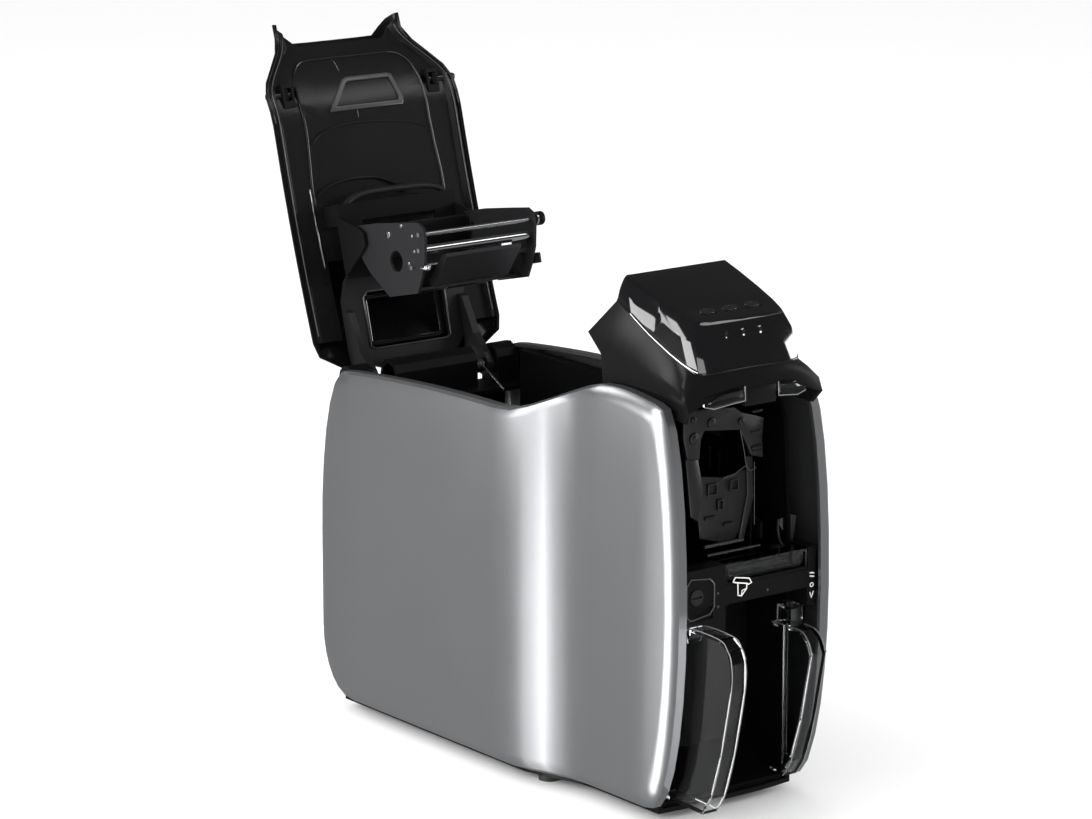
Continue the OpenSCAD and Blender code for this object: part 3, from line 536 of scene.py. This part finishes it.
class PRINTER_OT_lid(bpy.types.Operator):
    """Finishes the lid's shell and liner and builds the grip recess"""
    bl_idname = "printer.lid"
    bl_label = "Lid"

    def execute(self, context):
        shell = copy_node("lid_shell")
        finish_piece(shell, "lid_shell_skin", "lid", "lid_black", smooth=32.0)
        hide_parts("lid_shell")
        liner = copy_node("lid_liner")
        # the grip recess is cut right through the liner, and its dish is set in behind
        outline = [(-27, -23.4), (-25, -27.5), (-11.5, -43), (-8, -44.4), (24, -44.4), (27.4, -43),
                   (30.6, -28), (29, -23.4)]
        cutter = plate_piece([mm(x, y, 238) for x, y in outline], (0, 0, 0.024))
        pick(liner)
        cut = liner.modifiers.new("recess", "BOOLEAN")
        cut.operation = "DIFFERENCE"
        cut.object = cutter
        cut.solver = "EXACT"
        bpy.ops.object.modifier_apply(modifier=cut.name)
        bpy.data.objects.remove(cutter, do_unlink=True)
        finish_piece(liner, "lid_liner_skin", "lid", "liner_black", smooth=32.0)
        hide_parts("lid_liner")
        centre = (1.5, -34.0)
        grown = [(centre[0] + (x - centre[0]) * 1.05, centre[1] + (y - centre[1]) * 1.08) for x, y in outline]
        # the rim is a pale grey ring: a painted highlight along the grip recess's outline
        rim = frame_piece(liner_line(1.3, grown), 0.0032, (0, 0, 0.0026), bevel=0.0009)
        finish_piece(with_lid(rim), "recess_rim", "lid", "grey_trim_and_painted_highlight")
        dish = plate_piece(liner_line(-9.5, grown), (0, 0, 0.0015))
        walls = frame_piece(liner_line(0.2, grown), 0.0016, (0, 0, 0.0098), bevel=0.0004)
        finish_piece(with_lid(join([dish, walls])), "recess_dish", "lid", "gloss_black")
        bridge = plate_piece(liner_line(-2.2, ((-20, -28), (-9.5, -39.5), (22, -39.5), (25.5, -28))),
                             (0, 0, 0.003), bevel=0.0012)
        finish_piece(with_lid(bridge), "recess_grip", "lid", "gloss_black")
        return {"FINISHED"}


class PRINTER_OT_lid_lines(bpy.types.Operator):
    """Lays the raised lines of the lid: contour, step, rim beads and the marks of the moulding"""
    bl_idname = "printer.lid_lines"
    bl_label = "Lid Lines"

    def execute(self, context):
        right = [(15, -59.6), (33, -59.4), (41, -57.5), (47.8, -49.9), (50.6, -37.3), (50.6, -23.2),
                 (50.4, -9.5), (51.8, 11.4), (53.0, 25.3), (53.0, 38)]
        left = [(-x, y) for x, y in right[2:]]
        path = liner_line(0.1, reversed(left)) + liner_line(0.1, ((-33, -59.4), (-15, -59.6)))
        path += liner_line(0.1, right)
        ridge = bead_piece(smooth_line(path, 5), 0.0009)
        finish_piece(with_lid(ridge), "liner_contour", "lid", "liner_black", smooth=ROUND)
        # a thin pale bead on the right half of the contour only: a painted highlight on its crest
        crest = bead_piece(smooth_line(liner_line(0.85, right[1:]), 5), 0.00032)
        finish_piece(with_lid(crest), "liner_contour_painted_highlight", "lid", "grey_trim_and_painted_highlight", smooth=ROUND)
        arc = [(-47.5, -3), (-41, -8), (-33, -11), (-18.5, -13.5), (6, -13.4), (26, -11.4), (40, -8.4),
               (49, -5)]
        step = bead_piece(smooth_line(liner_line(0.1, arc), 5), 0.0008)
        finish_piece(with_lid(step), "liner_step", "lid", "liner_black", smooth=ROUND)
        back = [(-50.4, 32), (-43, 27.5), (-36.8, 25.6), (-26, 23.6), (-16.0, 23.2), (-4, 24), (3.9, 26.0),
                (14.9, 31.0), (20, 36)]
        dome = bead_piece(smooth_line(liner_line(0.6, back), 5), 0.0013)
        finish_piece(with_lid(dome), "liner_dome_edge", "lid", "liner_black", smooth=ROUND)
        beads = []
        for side in (-1, 1):
            for inset, rise, radius in ((1.7, 1.5, 0.0006), (4.9, 1.2, 0.00045)):
                line = []
                for k in range(45):
                    y = 124 - k * 4.6
                    line.append(mm(side * (lid_half_width(y) - inset), y, edge_height(max(y, -78)) + rise))
                beads.append(bead_piece(line, radius))
        finish_piece(with_lid(join(beads)), "lid_rim_beads", "lid", "grey_trim_and_painted_highlight", smooth=ROUND)
        strip = bead_piece([on_liner(-55.6 + k * 0.12, 27 + k * 5.3, 0.5) for k in range(11)], 0.0004)
        finish_piece(with_lid(strip), "liner_edge_strip", "lid", "bright_steel", smooth=ROUND)
        marks = [bead_piece([on_liner(-12, -57, 0.3), on_liner(-11, -50, 0.3)], 0.0003),
                 bead_piece([on_liner(-7, -22, 0.3), on_liner(-7, -17, 0.3)], 0.0003)]
        finish_piece(with_lid(join(marks)), "liner_marks", "lid", "grey_trim_and_painted_highlight", smooth=ROUND)
        ribs = []
        for side in (-1, 1):
            ends = sorted((side * 54.5, side * 63.6))
            for offset in (-6.6, 5.6):
                low, high = (ends[0] + 0.6, -37.5 + offset, 247.4), (ends[1] - 0.6, -36 + offset, 249.4)
                ribs.append(block_piece(low, high, bevel=0.0004))
        finish_piece(with_lid(join(ribs)), "latch_ribs", "lid", "grey_trim_and_painted_highlight")
        return {"FINISHED"}


class PRINTER_OT_latches(bpy.types.Operator):
    """Finishes the latches, the hinge frame's window and the head's handle"""
    bl_idname = "printer.latches"
    bl_label = "Latches and Hinge Frame"

    def execute(self, context):
        clothe("hinge_metal", "lid_hinge_frame")
        latch = copy_node("left_latch")
        for vertex in latch.data.vertices:
            vertex.co.x = max(vertex.co.x, LATCH_END)
        finish_piece(latch, "left_latch_skin", "latch_l", "gloss_black")
        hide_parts("left_latch")
        clothe("gloss_black", "right_latch")
        outline = [(-29.5, 99.5), (-33, 103), (-33, 136), (-29, 138), (29, 138), (33, 136), (33, 103),
                   (29.5, 99.5)]
        bead = bead_piece([mm(x, y, 234.9) for x, y in outline], 0.0007, closed=True)
        finish_piece(with_lid(bead), "window_bead", "lid", "grey_trim_and_painted_highlight", smooth=ROUND)
        inner = frame_piece([mm(x * 0.93, 118.5 + (y - 118.5) * 0.9, 239.2) for x, y in outline], 0.003,
                            (0, 0, 0.0016), bevel=0.0005)
        finish_piece(with_lid(inner), "window_inner_frame", "lid", "gloss_black")
        loop = [(-44.7, 52, 229.5), (-43.5, 45.6, 230), (-33.3, 37.4, 230.5), (-18.9, 34.4, 230.5),
                (6.5, 34.0, 230.5), (30, 35, 230.5), (42, 40, 230), (47, 50, 229.5)]
        handle = bead_piece(smooth_line([mm(*p) for p in loop], 5), 0.0022, steps=3)
        finish_piece(with_lid(handle), "head_handle", "lid", "hinge_metal", smooth=ROUND)
        return {"FINISHED"}


class PRINTER_OT_print_head(bpy.types.Operator):
    """Finishes the print head under the lid with its knobs, screws, teeth and spring"""
    bl_idname = "printer.print_head"
    bl_label = "Print Head"

    def execute(self, context):
        clothe("body_black", "head_bracket")
        clothe("head_sheet", "head_cradle")
        clothe("head_block", "print_head")
        clothe("bright_steel", "head_rods")
        clothe("chrome_bright", "peel_roller")
        knobs = [pin_piece(mm(50.6, 70, 140.6), (1, 0, 0), 0.0047, 0.0052, sides=18, bevel=0.0008),
                 pin_piece(mm(48.6, 90, 154), (1, 0, 0), 0.003, 0.004, sides=16, bevel=0.0006),
                 block_piece((46.2, 92, 144), (50.6, 99, 150), bevel=0.0008),
                 pin_piece(mm(46.0, 66, 205), (1, 0, 0), 0.0052, 0.0016, sides=24, bevel=0.0005)]
        finish_piece(with_lid(join(knobs)), "head_knobs", "head", "body_black")
        screws = [pin_piece(mm(-46.2, y, z), (1, 0, 0), 0.0012, 0.0012, sides=16, bevel=0.0003)
                  for y, z in ((70, 149), (80, 149), (87, 157))]
        screws += [pin_piece(mm(-45.9, 66, 176), (1, 0, 0), 0.0024, 0.001, sides=20, bevel=0.0003),
                   pin_piece(mm(-45.9, 62, 160), (1, 0, 0), 0.0014, 0.001, sides=20, bevel=0.0003)]
        finish_piece(with_lid(join(screws)), "head_screws", "head", "chrome_bright")
        teeth = [block_piece((-24 + k * 2.2, 95.0, 149.2), (-22.9 + k * 2.2, 96.4, 151.4)) for k in range(16)]
        teeth.append(block_piece((-25, 95.6, 150.8), (12, 97.4, 153.4), bevel=0.0003))
        finish_piece(with_lid(join(teeth)), "ribbon_comb", "head", "bright_steel")
        coil = []
        for k in range(41):
            turn = k * math.pi / 4
            coil.append(mm(-43.5 + math.cos(turn) * 1.8, 91.5 + math.sin(turn) * 1.8, 146.5 - k * 0.16))
        finish_piece(with_lid(bead_piece(coil, 0.00035)), "tension_spring", "head", "bright_steel",
                     smooth=ROUND)
        parts = [block_piece((-36, 105.2, 164), (-14, 106.6, 174), bevel=0.0004),
                 block_piece((-8, 105.2, 166), (20, 106.4, 180), bevel=0.0004),
                 block_piece((12, 92.0, 155.0), (24, 97.0, 158.6), bevel=0.0005),
                 block_piece((-41, 59, 207.6), (41, 75, 210.2), bevel=0.0006)]
        finish_piece(with_lid(join(parts)), "head_fittings", "head", "body_black")
        return {"FINISHED"}


class PRINTER_OT_visor(bpy.types.Operator):
    """Finishes the visor with its cap, skirt, lip, buttons and lights"""
    bl_idname = "printer.visor"
    bl_label = "Visor"

    def execute(self, context):
        cap = copy_node("visor_cap")
        # the flanks are cut along one line and drawn out there, so each has an upper and a lower facet
        bpy.ops.object.mode_set(mode="EDIT")
        bpy.ops.mesh.select_all(action="SELECT")
        bpy.ops.mesh.bisect(plane_co=mm(0, -98, 325.6), plane_no=(0, -0.353, 0.936))
        bpy.ops.object.mode_set(mode="OBJECT")
        for vertex in cap.data.vertices:
            x, y, z = vertex.co.x * 1000, (vertex.co.y - SHIFT) * 1000, vertex.co.z * 1000
            low, high = 318 + 0.464 * (y + 97), 331 + 0.32 * (y + 98)
            share = min((z - low) / (high - low), 1.0)
            if share <= 0 or abs(x) <= FLAT_HALF:
                continue
            front = ease((-120 - y) / 45)
            seam_x, crown_x = 45.8 - 4.8 * ease((-135 - y) / 32), 34.4 - 4.6 * ease((-125 - y) / 36)
            here = seam_x + (crown_x - seam_x) * share
            belt, top = seam_x - 2.2 + 1.2 * front, 41 - 7.5 * front
            if share < BELT_SHARE:
                wanted = seam_x + (belt - seam_x) * share / BELT_SHARE
            else:
                wanted = belt + (top - belt) * (share - BELT_SHARE) / (1 - BELT_SHARE)
            pull = min((abs(x) - FLAT_HALF) / (here - FLAT_HALF), 1.0)
            vertex.co.x += math.copysign((wanted - here) * pull, x) / 1000
        break_edges(cap, 0.0014, 18, segments=3)
        finish_piece(cap, "visor_cap_skin", "visor", "gloss_black", smooth=40.0)
        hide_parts("visor_cap")
        skirt = copy_node("visor_skirt")
        finish_piece(skirt, "visor_skirt_skin", "visor", "skirt_satin", smooth=38.0)
        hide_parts("visor_skirt")
        seam = [(45, -97, 318), (46.4, -112, 311), (46, -130, 301), (43.8, -149, 291), (41.6, -161.4, 285.4),
                (39, -167.6, 283.2), (29, -170.6, 283), (0, -171.6, 283.4)]
        line = [mm(-x, y, z + 0.2) for x, y, z in seam]
        line += [mm(x, y, z + 0.2) for x, y, z in reversed(seam[:-1])]
        finish_piece(bead_piece(smooth_line(line, 3), 0.0006), "visor_seam", "visor", "gloss_black",
                     smooth=ROUND)
        # a chrome bead along the left seam only, set just above it: a painted highlight on the cap's corner
        gleam = [mm(-x - 0.5, y, z + 1.2) for x, y, z in seam[1:6]]
        finish_piece(bead_piece(smooth_line(gleam, 3), 0.0005), "visor_edge_gleam", "visor", "chrome_bright",
                     smooth=ROUND)
        # the lip shows below the skirt's front edge, in two lengths with the catch between them
        lengths, edges = [], []
        for side, inner in ((-1, -9.6), (1, 17.0)):
            ends = (side * 40.0, side * 33.0, side * 20.0, inner)
            low = [(x, -176.3 + 0.0012 * x * x, 264.9 - 0.0022 * x * x + (3.0 if abs(x) > 38 else 0.0))
                   for x in ends]
            high = [(x, -175.9 + 0.0014 * x * x, 273.6 - 0.0022 * x * x) for x in reversed(ends)]
            outline = [mm(*p) for p in low + high]
            lengths.append(plate_piece(outline, (0, 0.0016, 0), bevel=0.0004))
            # pale beads along the lip's lower and inner edges: a painted highlight on the smoked plastic
            edges.append(bead_piece([mm(x, y - 0.3, z) for x, y, z in low], 0.00035))
            edges.append(bead_piece([mm(x, y - 0.3, z) for x, y, z in low[-1:] + high[:1]], 0.0003))
        finish_piece(join(lengths), "lip_front", "visor", "smoked_clear")
        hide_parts("visor_lip")
        finish_piece(join(edges), "lip_edges", "visor", "painted_glass_edge_highlight", smooth=ROUND)
        catch = block_piece((-8.6, -175.4, 260.5), (16, -171.5, 272), bevel=0.0008)
        finish_piece(catch, "visor_catch", "visor", "skirt_satin")
        clothe("button_grey", "status_lights")
        lens, rings = [], []
        for x, scale in ((-1.5, 1.0), (12, 1.0), (-15, 0.6)):
            lens.append(pin_piece(mm(x, -164.0, 305.0), LENS_AXIS, 0.0010 * scale, 0.0012, sides=20,
                                  bevel=0.0004))
            rings.append(pin_piece(mm(x, -164.4, 302.2), LENS_AXIS, 0.0006 * scale, 0.0009, sides=16,
                                   bevel=0.0003))
        finish_piece(join(lens + rings), "status_lenses", "visor", "light_lens")
        ovals = []
        for x in (-17, 0.5, 18):
            ring = [(x + 5.6 * math.cos(a * math.pi / 12), 2.7 * math.sin(a * math.pi / 12))
                    for a in range(24)]
            points = [mm(u, -149 + v * math.cos(BUTTON_SLOPE), 316.25 + v * math.sin(BUTTON_SLOPE))
                      for u, v in ring]
            ovals.append(bead_piece(points, 0.00022, closed=True))
        finish_piece(join(ovals), "button_surrounds", "visor", "grey_trim_and_painted_highlight", smooth=ROUND)
        clothe("button_grey", "button_left", "button_middle", "button_right")
        return {"FINISHED"}


class PRINTER_OT_body(bpy.types.Operator):
    """Gives the black body, hopper, bezel and clear guards their materials"""
    bl_idname = "printer.body"
    bl_label = "Body and Hopper"

    def execute(self, context):
        clothe("body_black", "base_tray", "rear_panel", "nose_cover", "hopper_bracket", "front_bezel",
               "card_weight", "power_inlet", "power_switch")
        clothe("inner_black", "left_frame", "right_frame", "divider_wall", "card_guide", "hopper_left_wall",
               "hopper_right_wall", "hopper_floor", "output_tray")
        clothe("smoked_clear", "slot_light_bar")
        clothe("clear_guard", "left_output_guard", "right_output_guard")
        clothe("gloss_black", "lock_screw")
        clothe("rubber_dark", "rubber_feet")
        return {"FINISHED"}


class PRINTER_OT_front_marks(bpy.types.Operator):
    """Adds the bezel's lock surround, pictograms and dots, and pale beads that paint the highlight on the
    guards' edges
    """
    bl_idname = "printer.front_marks"
    bl_label = "Front Details"

    def execute(self, context):
        corner = [(-47.5, 131.5), (-50.5, 135), (-50.5, 154), (-47, 158.4), (-32, 156.6), (-28, 152.6),
                  (-28, 138), (-31.5, 133.6)]
        rim = frame_piece(face_line(-171.0, corner), 0.0009, (0, -0.0009, 0), bevel=0.0003)
        finish_piece(rim, "lock_surround", "chassis", "grey_trim_and_painted_highlight")
        strokes = (((-13.4, 151.0), (-11.6, 153.6), (-0.6, 151.4), (1.4, 148.4), (-1.0, 147.6)),
                   ((-13.4, 151.0), (-10.8, 150.2), (-2.4, 148.4), (-1.0, 147.6)),
                   ((-9.6, 149.8), (-9.4, 142.0), (-6.6, 141.2), (-2.6, 145.2), (-2.4, 148.4)))
        icon = [bead_piece(face_line(MARK_FACE, stroke), 0.00042) for stroke in strokes]
        icon.append(bead_piece(face_line(MARK_FACE, ((-6.6, 141.2), (-6.2, 144.6), (-2.6, 145.2))), 0.00036))
        for k in range(2):
            dash = ((48.6, 146.6 - k * 2.2), (51.8, 146.0 - k * 2.2))
            icon.append(bead_piece(face_line(MARK_FACE, dash), 0.00045))
        ring = [(50.2 + 1.3 * math.cos(a * math.pi / 5), 138.6 + 1.3 * math.sin(a * math.pi / 5))
                for a in range(10)]
        icon.append(bead_piece(face_line(MARK_FACE, ring), 0.0003, closed=True))
        icon.append(bead_piece(face_line(MARK_FACE, ((48.8, 134.0), (50.0, 130.4), (51.6, 134.4))), 0.00036))
        finish_piece(join(icon), "bezel_pictograms", "chassis", "print_white", smooth=ROUND)
        dots = [pin_piece(mm(x, -171.2, z), (0, 1, 0), 0.0008, 0.0008, sides=12)
                for x, z in ((-25.5, 146), (-25.2, 137.6), (-48.8, 128), (14, 141.6))]
        finish_piece(join(dots), "bezel_dots", "chassis", "grey_trim_and_painted_highlight")
        left = [(-148, 16.4), (-148, 118.6), (-171.3, 118.6), (-171.3, 128), (-201, 128), (-209, 123),
                (-213, 115), (-213, 97), (-204, 54), (-195, 26),
                (-187, 14.4)]
        right = [(-148, 16.4), (-148, 112), (-174, 112), (-182, 107), (-186, 99), (-186, 97), (-177, 54),
                 (-168, 26), (-160, 14.4)]
        # pale beads along both guards' outlines and front edges: a painted highlight on the clear plastic
        beads = []
        for side, outline in ((-1, left[1:]), (1, right[1:])):
            for x in (49.2, 38.2):
                beads.append(bead_piece(smooth_line([mm(side * x, y, z) for y, z in outline], 4), 0.0003))
        for side in (-1, 1):
            beads.append(bead_piece([mm(side * 49.4, -151.0, z) for z in (24, 112)], 0.00025))
        finish_piece(join(beads), "guard_edges", "chassis", "painted_glass_edge_highlight", smooth=ROUND)
        return {"FINISHED"}


class PRINTER_OT_hopper(bpy.types.Operator):
    """Adds the card gate in the hopper's mouth with its small parts, the side lever and the rails"""
    bl_idname = "printer.hopper"
    bl_label = "Hopper Details"

    def execute(self, context):
        arch = [(-37.5, 257), (-16, 256), (2.9, 254.2), (8.9, 250.2), (26.5, 244.5), (25.2, 232),
                (26.2, 219.3), (16.3, 222.4), (13.2, 229.2), (7.1, 239.5), (-20.7, 242.8), (-23.5, 237.8),
                (-24.4, 225.4), (-34.2, 226.9), (-37.4, 240)]
        plates = [plate_piece(face_line(GATE_FACE, arch), (0, 0.003, 0), bevel=0.0007)]
        flats = ((-149.6, ((-26.2, 214.8), (-4.5, 211.1), (13.5, 213.4), (17.6, 201.7), (10, 176),
                           (4.1, 167.4),
                           (-21.9, 174.8))),
                 (-150.4, ((-34.2, 226.9), (-24.4, 225.4), (-20, 205), (-24, 186), (-30, 190))),
                 (-150.8, ((13.5, 222), (18.4, 221), (20, 196), (12, 168), (8, 170), (14.6, 198))))
        for depth, outline in flats:
            plates.append(plate_piece(face_line(depth, outline), (0, 0.002, 0), bevel=0.0006))
        finish_piece(join(plates), "card_gate", "chassis", "bracket_grey")
        small = []
        for x, z, w, h in ((-17.3, 201.2, 8, 7.5), (0.5, 201.7, 7, 7.4), (-9.3, 190.9, 5, 7),
                           (-19, 186, 9, 2), (-4, 180, 8, 2)):
            corners = ((x, z), (x + w, z), (x + w, z + h), (x, z + h))
            small.append(frame_piece(face_line(-150.0, corners), 0.001, (0, -0.0016, 0), bevel=0.0003))
        for x, z, radius in ((-29.4, 239.4, 3.6), (-15.8, 247.5, 3.0), (8, 245, 2.4), (-30, 251, 2.0)):
            small.append(pin_piece(mm(x, -152.6, z), (0, 1, 0), radius / 1000, 0.0016, bevel=0.0005))
            small.append(pin_piece(mm(x, -153.4, z), (0, 1, 0), radius / 2200, 0.0012, sides=16,
                                   bevel=0.0003))
        for z in (249, 236, 226):
            small.append(block_piece((16, -153.4, z), (24, -151.8, z + 1.4), bevel=0.0003))
        for k in range(5):
            small.append(block_piece((17 + k * 1.6, -153.2, 224.6), (17.8 + k * 1.6, -151.8, 228.2)))
        finish_piece(join(small), "card_gate_details", "chassis", "bracket_grey")
        lower = face_line(-150.4, ((-4.5, 210.8), (3.5, 211.6), (8, 213.6), (13.5, 216)))
        upper = face_line(-152.3, ((7.1, 239.5), (10.3, 226), (12.4, 216), (16, 213), (20, 214)))
        # pale beads along the gate's ridges and right edge: painted highlight lines
        sheen = [bead_piece(smooth_line(lower, 4), 0.0004),
                 bead_piece(face_line(-149, ((21.4, 216.9), (22.0, 177.2))), 0.0003),
                 bead_piece(smooth_line(upper, 4), 0.0003)]
        finish_piece(join(sheen), "card_gate_gleam", "chassis", "grey_trim_and_painted_highlight", smooth=ROUND)
        edge = ((40, 177.1), (50.1, 179.5), (55.2, 177.9), (52.6, 160), (50.5, 158), (46, 166))
        flap = plate_piece(face_line(-150.5, edge), (0, 0.0016, 0), bevel=0.0006)
        finish_piece(flap, "lever_plate", "chassis", "grey_trim_and_painted_highlight")
        sweep = [(39.8, -151, 177.4), (38.9, -151.6, 171), (40.6, -152, 164), (45.6, -152, 158.4)]
        lever = bead_piece(smooth_line([mm(*p) for p in sweep], 5), 0.0011, steps=3)
        boss = pin_piece(mm(39, -150, 158), (0, 1, 0), 0.004, 0.006, bevel=0.001)
        finish_piece(join([lever, boss]), "side_lever", "chassis", "bracket_grey", smooth=ROUND)
        rails = [block_piece((-19.2, -151.5, 168.6), (11.8, -149.6, 170.4), bevel=0.0004),
                 block_piece((-18.1, -153, 163.6), (24, -151, 165), bevel=0.0004),
                 block_piece((-8, -150.5, 151.6), (22, -149, 153.6), bevel=0.0004),
                 block_piece((-36, -146, 151.6), (-33, -120, 153.6), bevel=0.0004)]
        finish_piece(join(rails), "hopper_rails", "chassis", "grey_trim_and_painted_highlight")
        return {"FINISHED"}


class PRINTER_OT_drive(bpy.types.Operator):
    """Finishes the drive, the ribbon spindles and the electrics inside"""
    bl_idname = "printer.drive"
    bl_label = "Drive and Electrics"

    def execute(self, context):
        clothe("rubber_dark", "platen_roller", "feed_roller", "exit_roller", "pick_roller", "drive_belt")
        clothe("gear_white", "idler_gear", "platen_gear", "feed_gear", "takeup_gear", "takeup_spindle",
               "supply_spindle")
        clothe("brass_turned", "motor_pinion", "ribbon_pinion")
        clothe("motor_grey", "feed_motor", "ribbon_motor")
        clothe("bright_steel", "lid_hinge_pins", "lid_spring", "usb_socket")
        clothe("board_green", "main_board")
        clothe("supply_sheet", "power_supply")
        return {"FINISHED"}


def area_light(name, place, target, width, power, tall):
    lamp = bpy.data.lights.new(name, "AREA")
    lamp.shape = "RECTANGLE"
    lamp.size = width
    lamp.size_y = tall
    lamp.energy = power
    obj = bpy.data.objects.new(name, lamp)
    bpy.context.collection.objects.link(obj)
    obj.location = place
    obj.rotation_euler = (Vector(target) - Vector(place)).to_track_quat("-Z", "Y").to_euler()


class PRINTER_OT_stage(bpy.types.Operator):
    """Sets the pale floor, the soft lights and the camera"""
    bl_idname = "printer.stage"
    bl_label = "Studio"

    def execute(self, context):
        setting = context.scene.printer_stage
        deselect()
        bpy.ops.mesh.primitive_plane_add(size=FLOOR_SIZE, location=(0, 0, 0))
        floor = context.object
        floor.name = "studio_floor"
        floor.data.materials.append(MATERIALS["floor_white"])
        # reflections and lights go past the floor, so what stands below it shows on upright faces
        floor.visible_glossy = False
        floor.visible_shadow = False
        world = bpy.data.worlds.new("studio_room")
        context.scene.world = world
        world.use_nodes = True
        nodes, links = world.node_tree.nodes, world.node_tree.links
        backdrop = nodes["Background"]
        backdrop.inputs["Color"].default_value = (1, 1, 1, 1)
        backdrop.inputs["Strength"].default_value = 1.0
        room = nodes.new("ShaderNodeBackground")
        room.inputs["Color"].default_value = (1, 1, 1, 1)
        rays = nodes.new("ShaderNodeLightPath")
        strength = nodes.new("ShaderNodeMix")
        strength.inputs["A"].default_value = setting.fill
        # in reflections the room is pale below the horizon and dark above it
        where = nodes.new("ShaderNodeTexCoord")
        split = nodes.new("ShaderNodeSeparateXYZ")
        ramp = nodes.new("ShaderNodeMapRange")
        ramp.inputs["From Min"].default_value = HORIZON[0]
        ramp.inputs["From Max"].default_value = HORIZON[1]
        ramp.inputs["To Min"].default_value = setting.gloss_fill
        ramp.inputs["To Max"].default_value = setting.gloss_fill * DARK_SHARE
        links.new(where.outputs["Generated"], split.inputs[0])
        links.new(split.outputs["Z"], ramp.inputs["Value"])
        links.new(ramp.outputs["Result"], strength.inputs["B"])
        links.new(rays.outputs["Is Glossy Ray"], strength.inputs["Factor"])
        links.new(strength.outputs["Result"], room.inputs["Strength"])
        mix = nodes.new("ShaderNodeMixShader")
        links.new(rays.outputs["Is Camera Ray"], mix.inputs[0])
        links.new(room.outputs[0], mix.inputs[1])
        links.new(backdrop.outputs[0], mix.inputs[2])
        links.new(mix.outputs[0], nodes["World Output"].inputs["Surface"])
        for name, place, target, width, power, tall in LIGHTS:
            area_light(name, place, target, width, power, tall)
        camera_data = bpy.data.cameras.new("studio_camera")
        camera = bpy.data.objects.new("studio_camera", camera_data)
        context.collection.objects.link(camera)
        camera_data.lens = setting.lens
        camera_data.sensor_width = SENSOR_WIDTH
        aim = mm(*VIEW_CENTRE)
        level = math.cos(CAMERA_RISE)
        direction = Vector((math.sin(CAMERA_TURN) * level, -math.cos(CAMERA_TURN) * level,
                            math.sin(CAMERA_RISE)))
        camera.location = aim + direction * setting.distance
        camera.rotation_euler = (-direction).to_track_quat("-Z", "Y").to_euler()
        camera_data.clip_end = 30.0
        context.scene.camera = camera
        context.scene.view_settings.view_transform = "Standard"
        return {"FINISHED"}


class PRINTER_PT_panel(bpy.types.Panel):
    """Sizes, colours and build steps of the printer"""
    bl_label = "Card Printer"
    bl_space_type = "VIEW_3D"
    bl_region_type = "UI"
    bl_category = "Printer"

    def draw(self, context):
        for group in (context.scene.printer_colours, context.scene.printer_stage):
            for key in group.__annotations__:
                self.layout.prop(group, key)
        for step in STEPS:
            self.layout.operator("printer." + step)


STEPS = ("materials", "stage", "side_panels", "lid", "lid_lines", "latches", "print_head", "visor", "body",
         "front_marks", "hopper", "drive")
CLASSES = (PrinterColours, PrinterStage, PRINTER_OT_materials, PRINTER_OT_side_panels, PRINTER_OT_lid,
           PRINTER_OT_lid_lines, PRINTER_OT_latches, PRINTER_OT_print_head, PRINTER_OT_visor, PRINTER_OT_body,
           PRINTER_OT_front_marks, PRINTER_OT_hopper, PRINTER_OT_drive, PRINTER_OT_stage, PRINTER_PT_panel)


def register():
    for item in CLASSES:
        bpy.utils.register_class(item)
    bpy.types.Scene.printer_colours = PointerProperty(type=PrinterColours)
    bpy.types.Scene.printer_stage = PointerProperty(type=PrinterStage)


def unregister():
    del bpy.types.Scene.printer_stage
    del bpy.types.Scene.printer_colours
    for item in reversed(CLASSES):
        bpy.utils.unregister_class(item)


def main():
    register()
    for step in STEPS:
        getattr(bpy.ops.printer, step)()


if __name__ == "__main__":
    main()
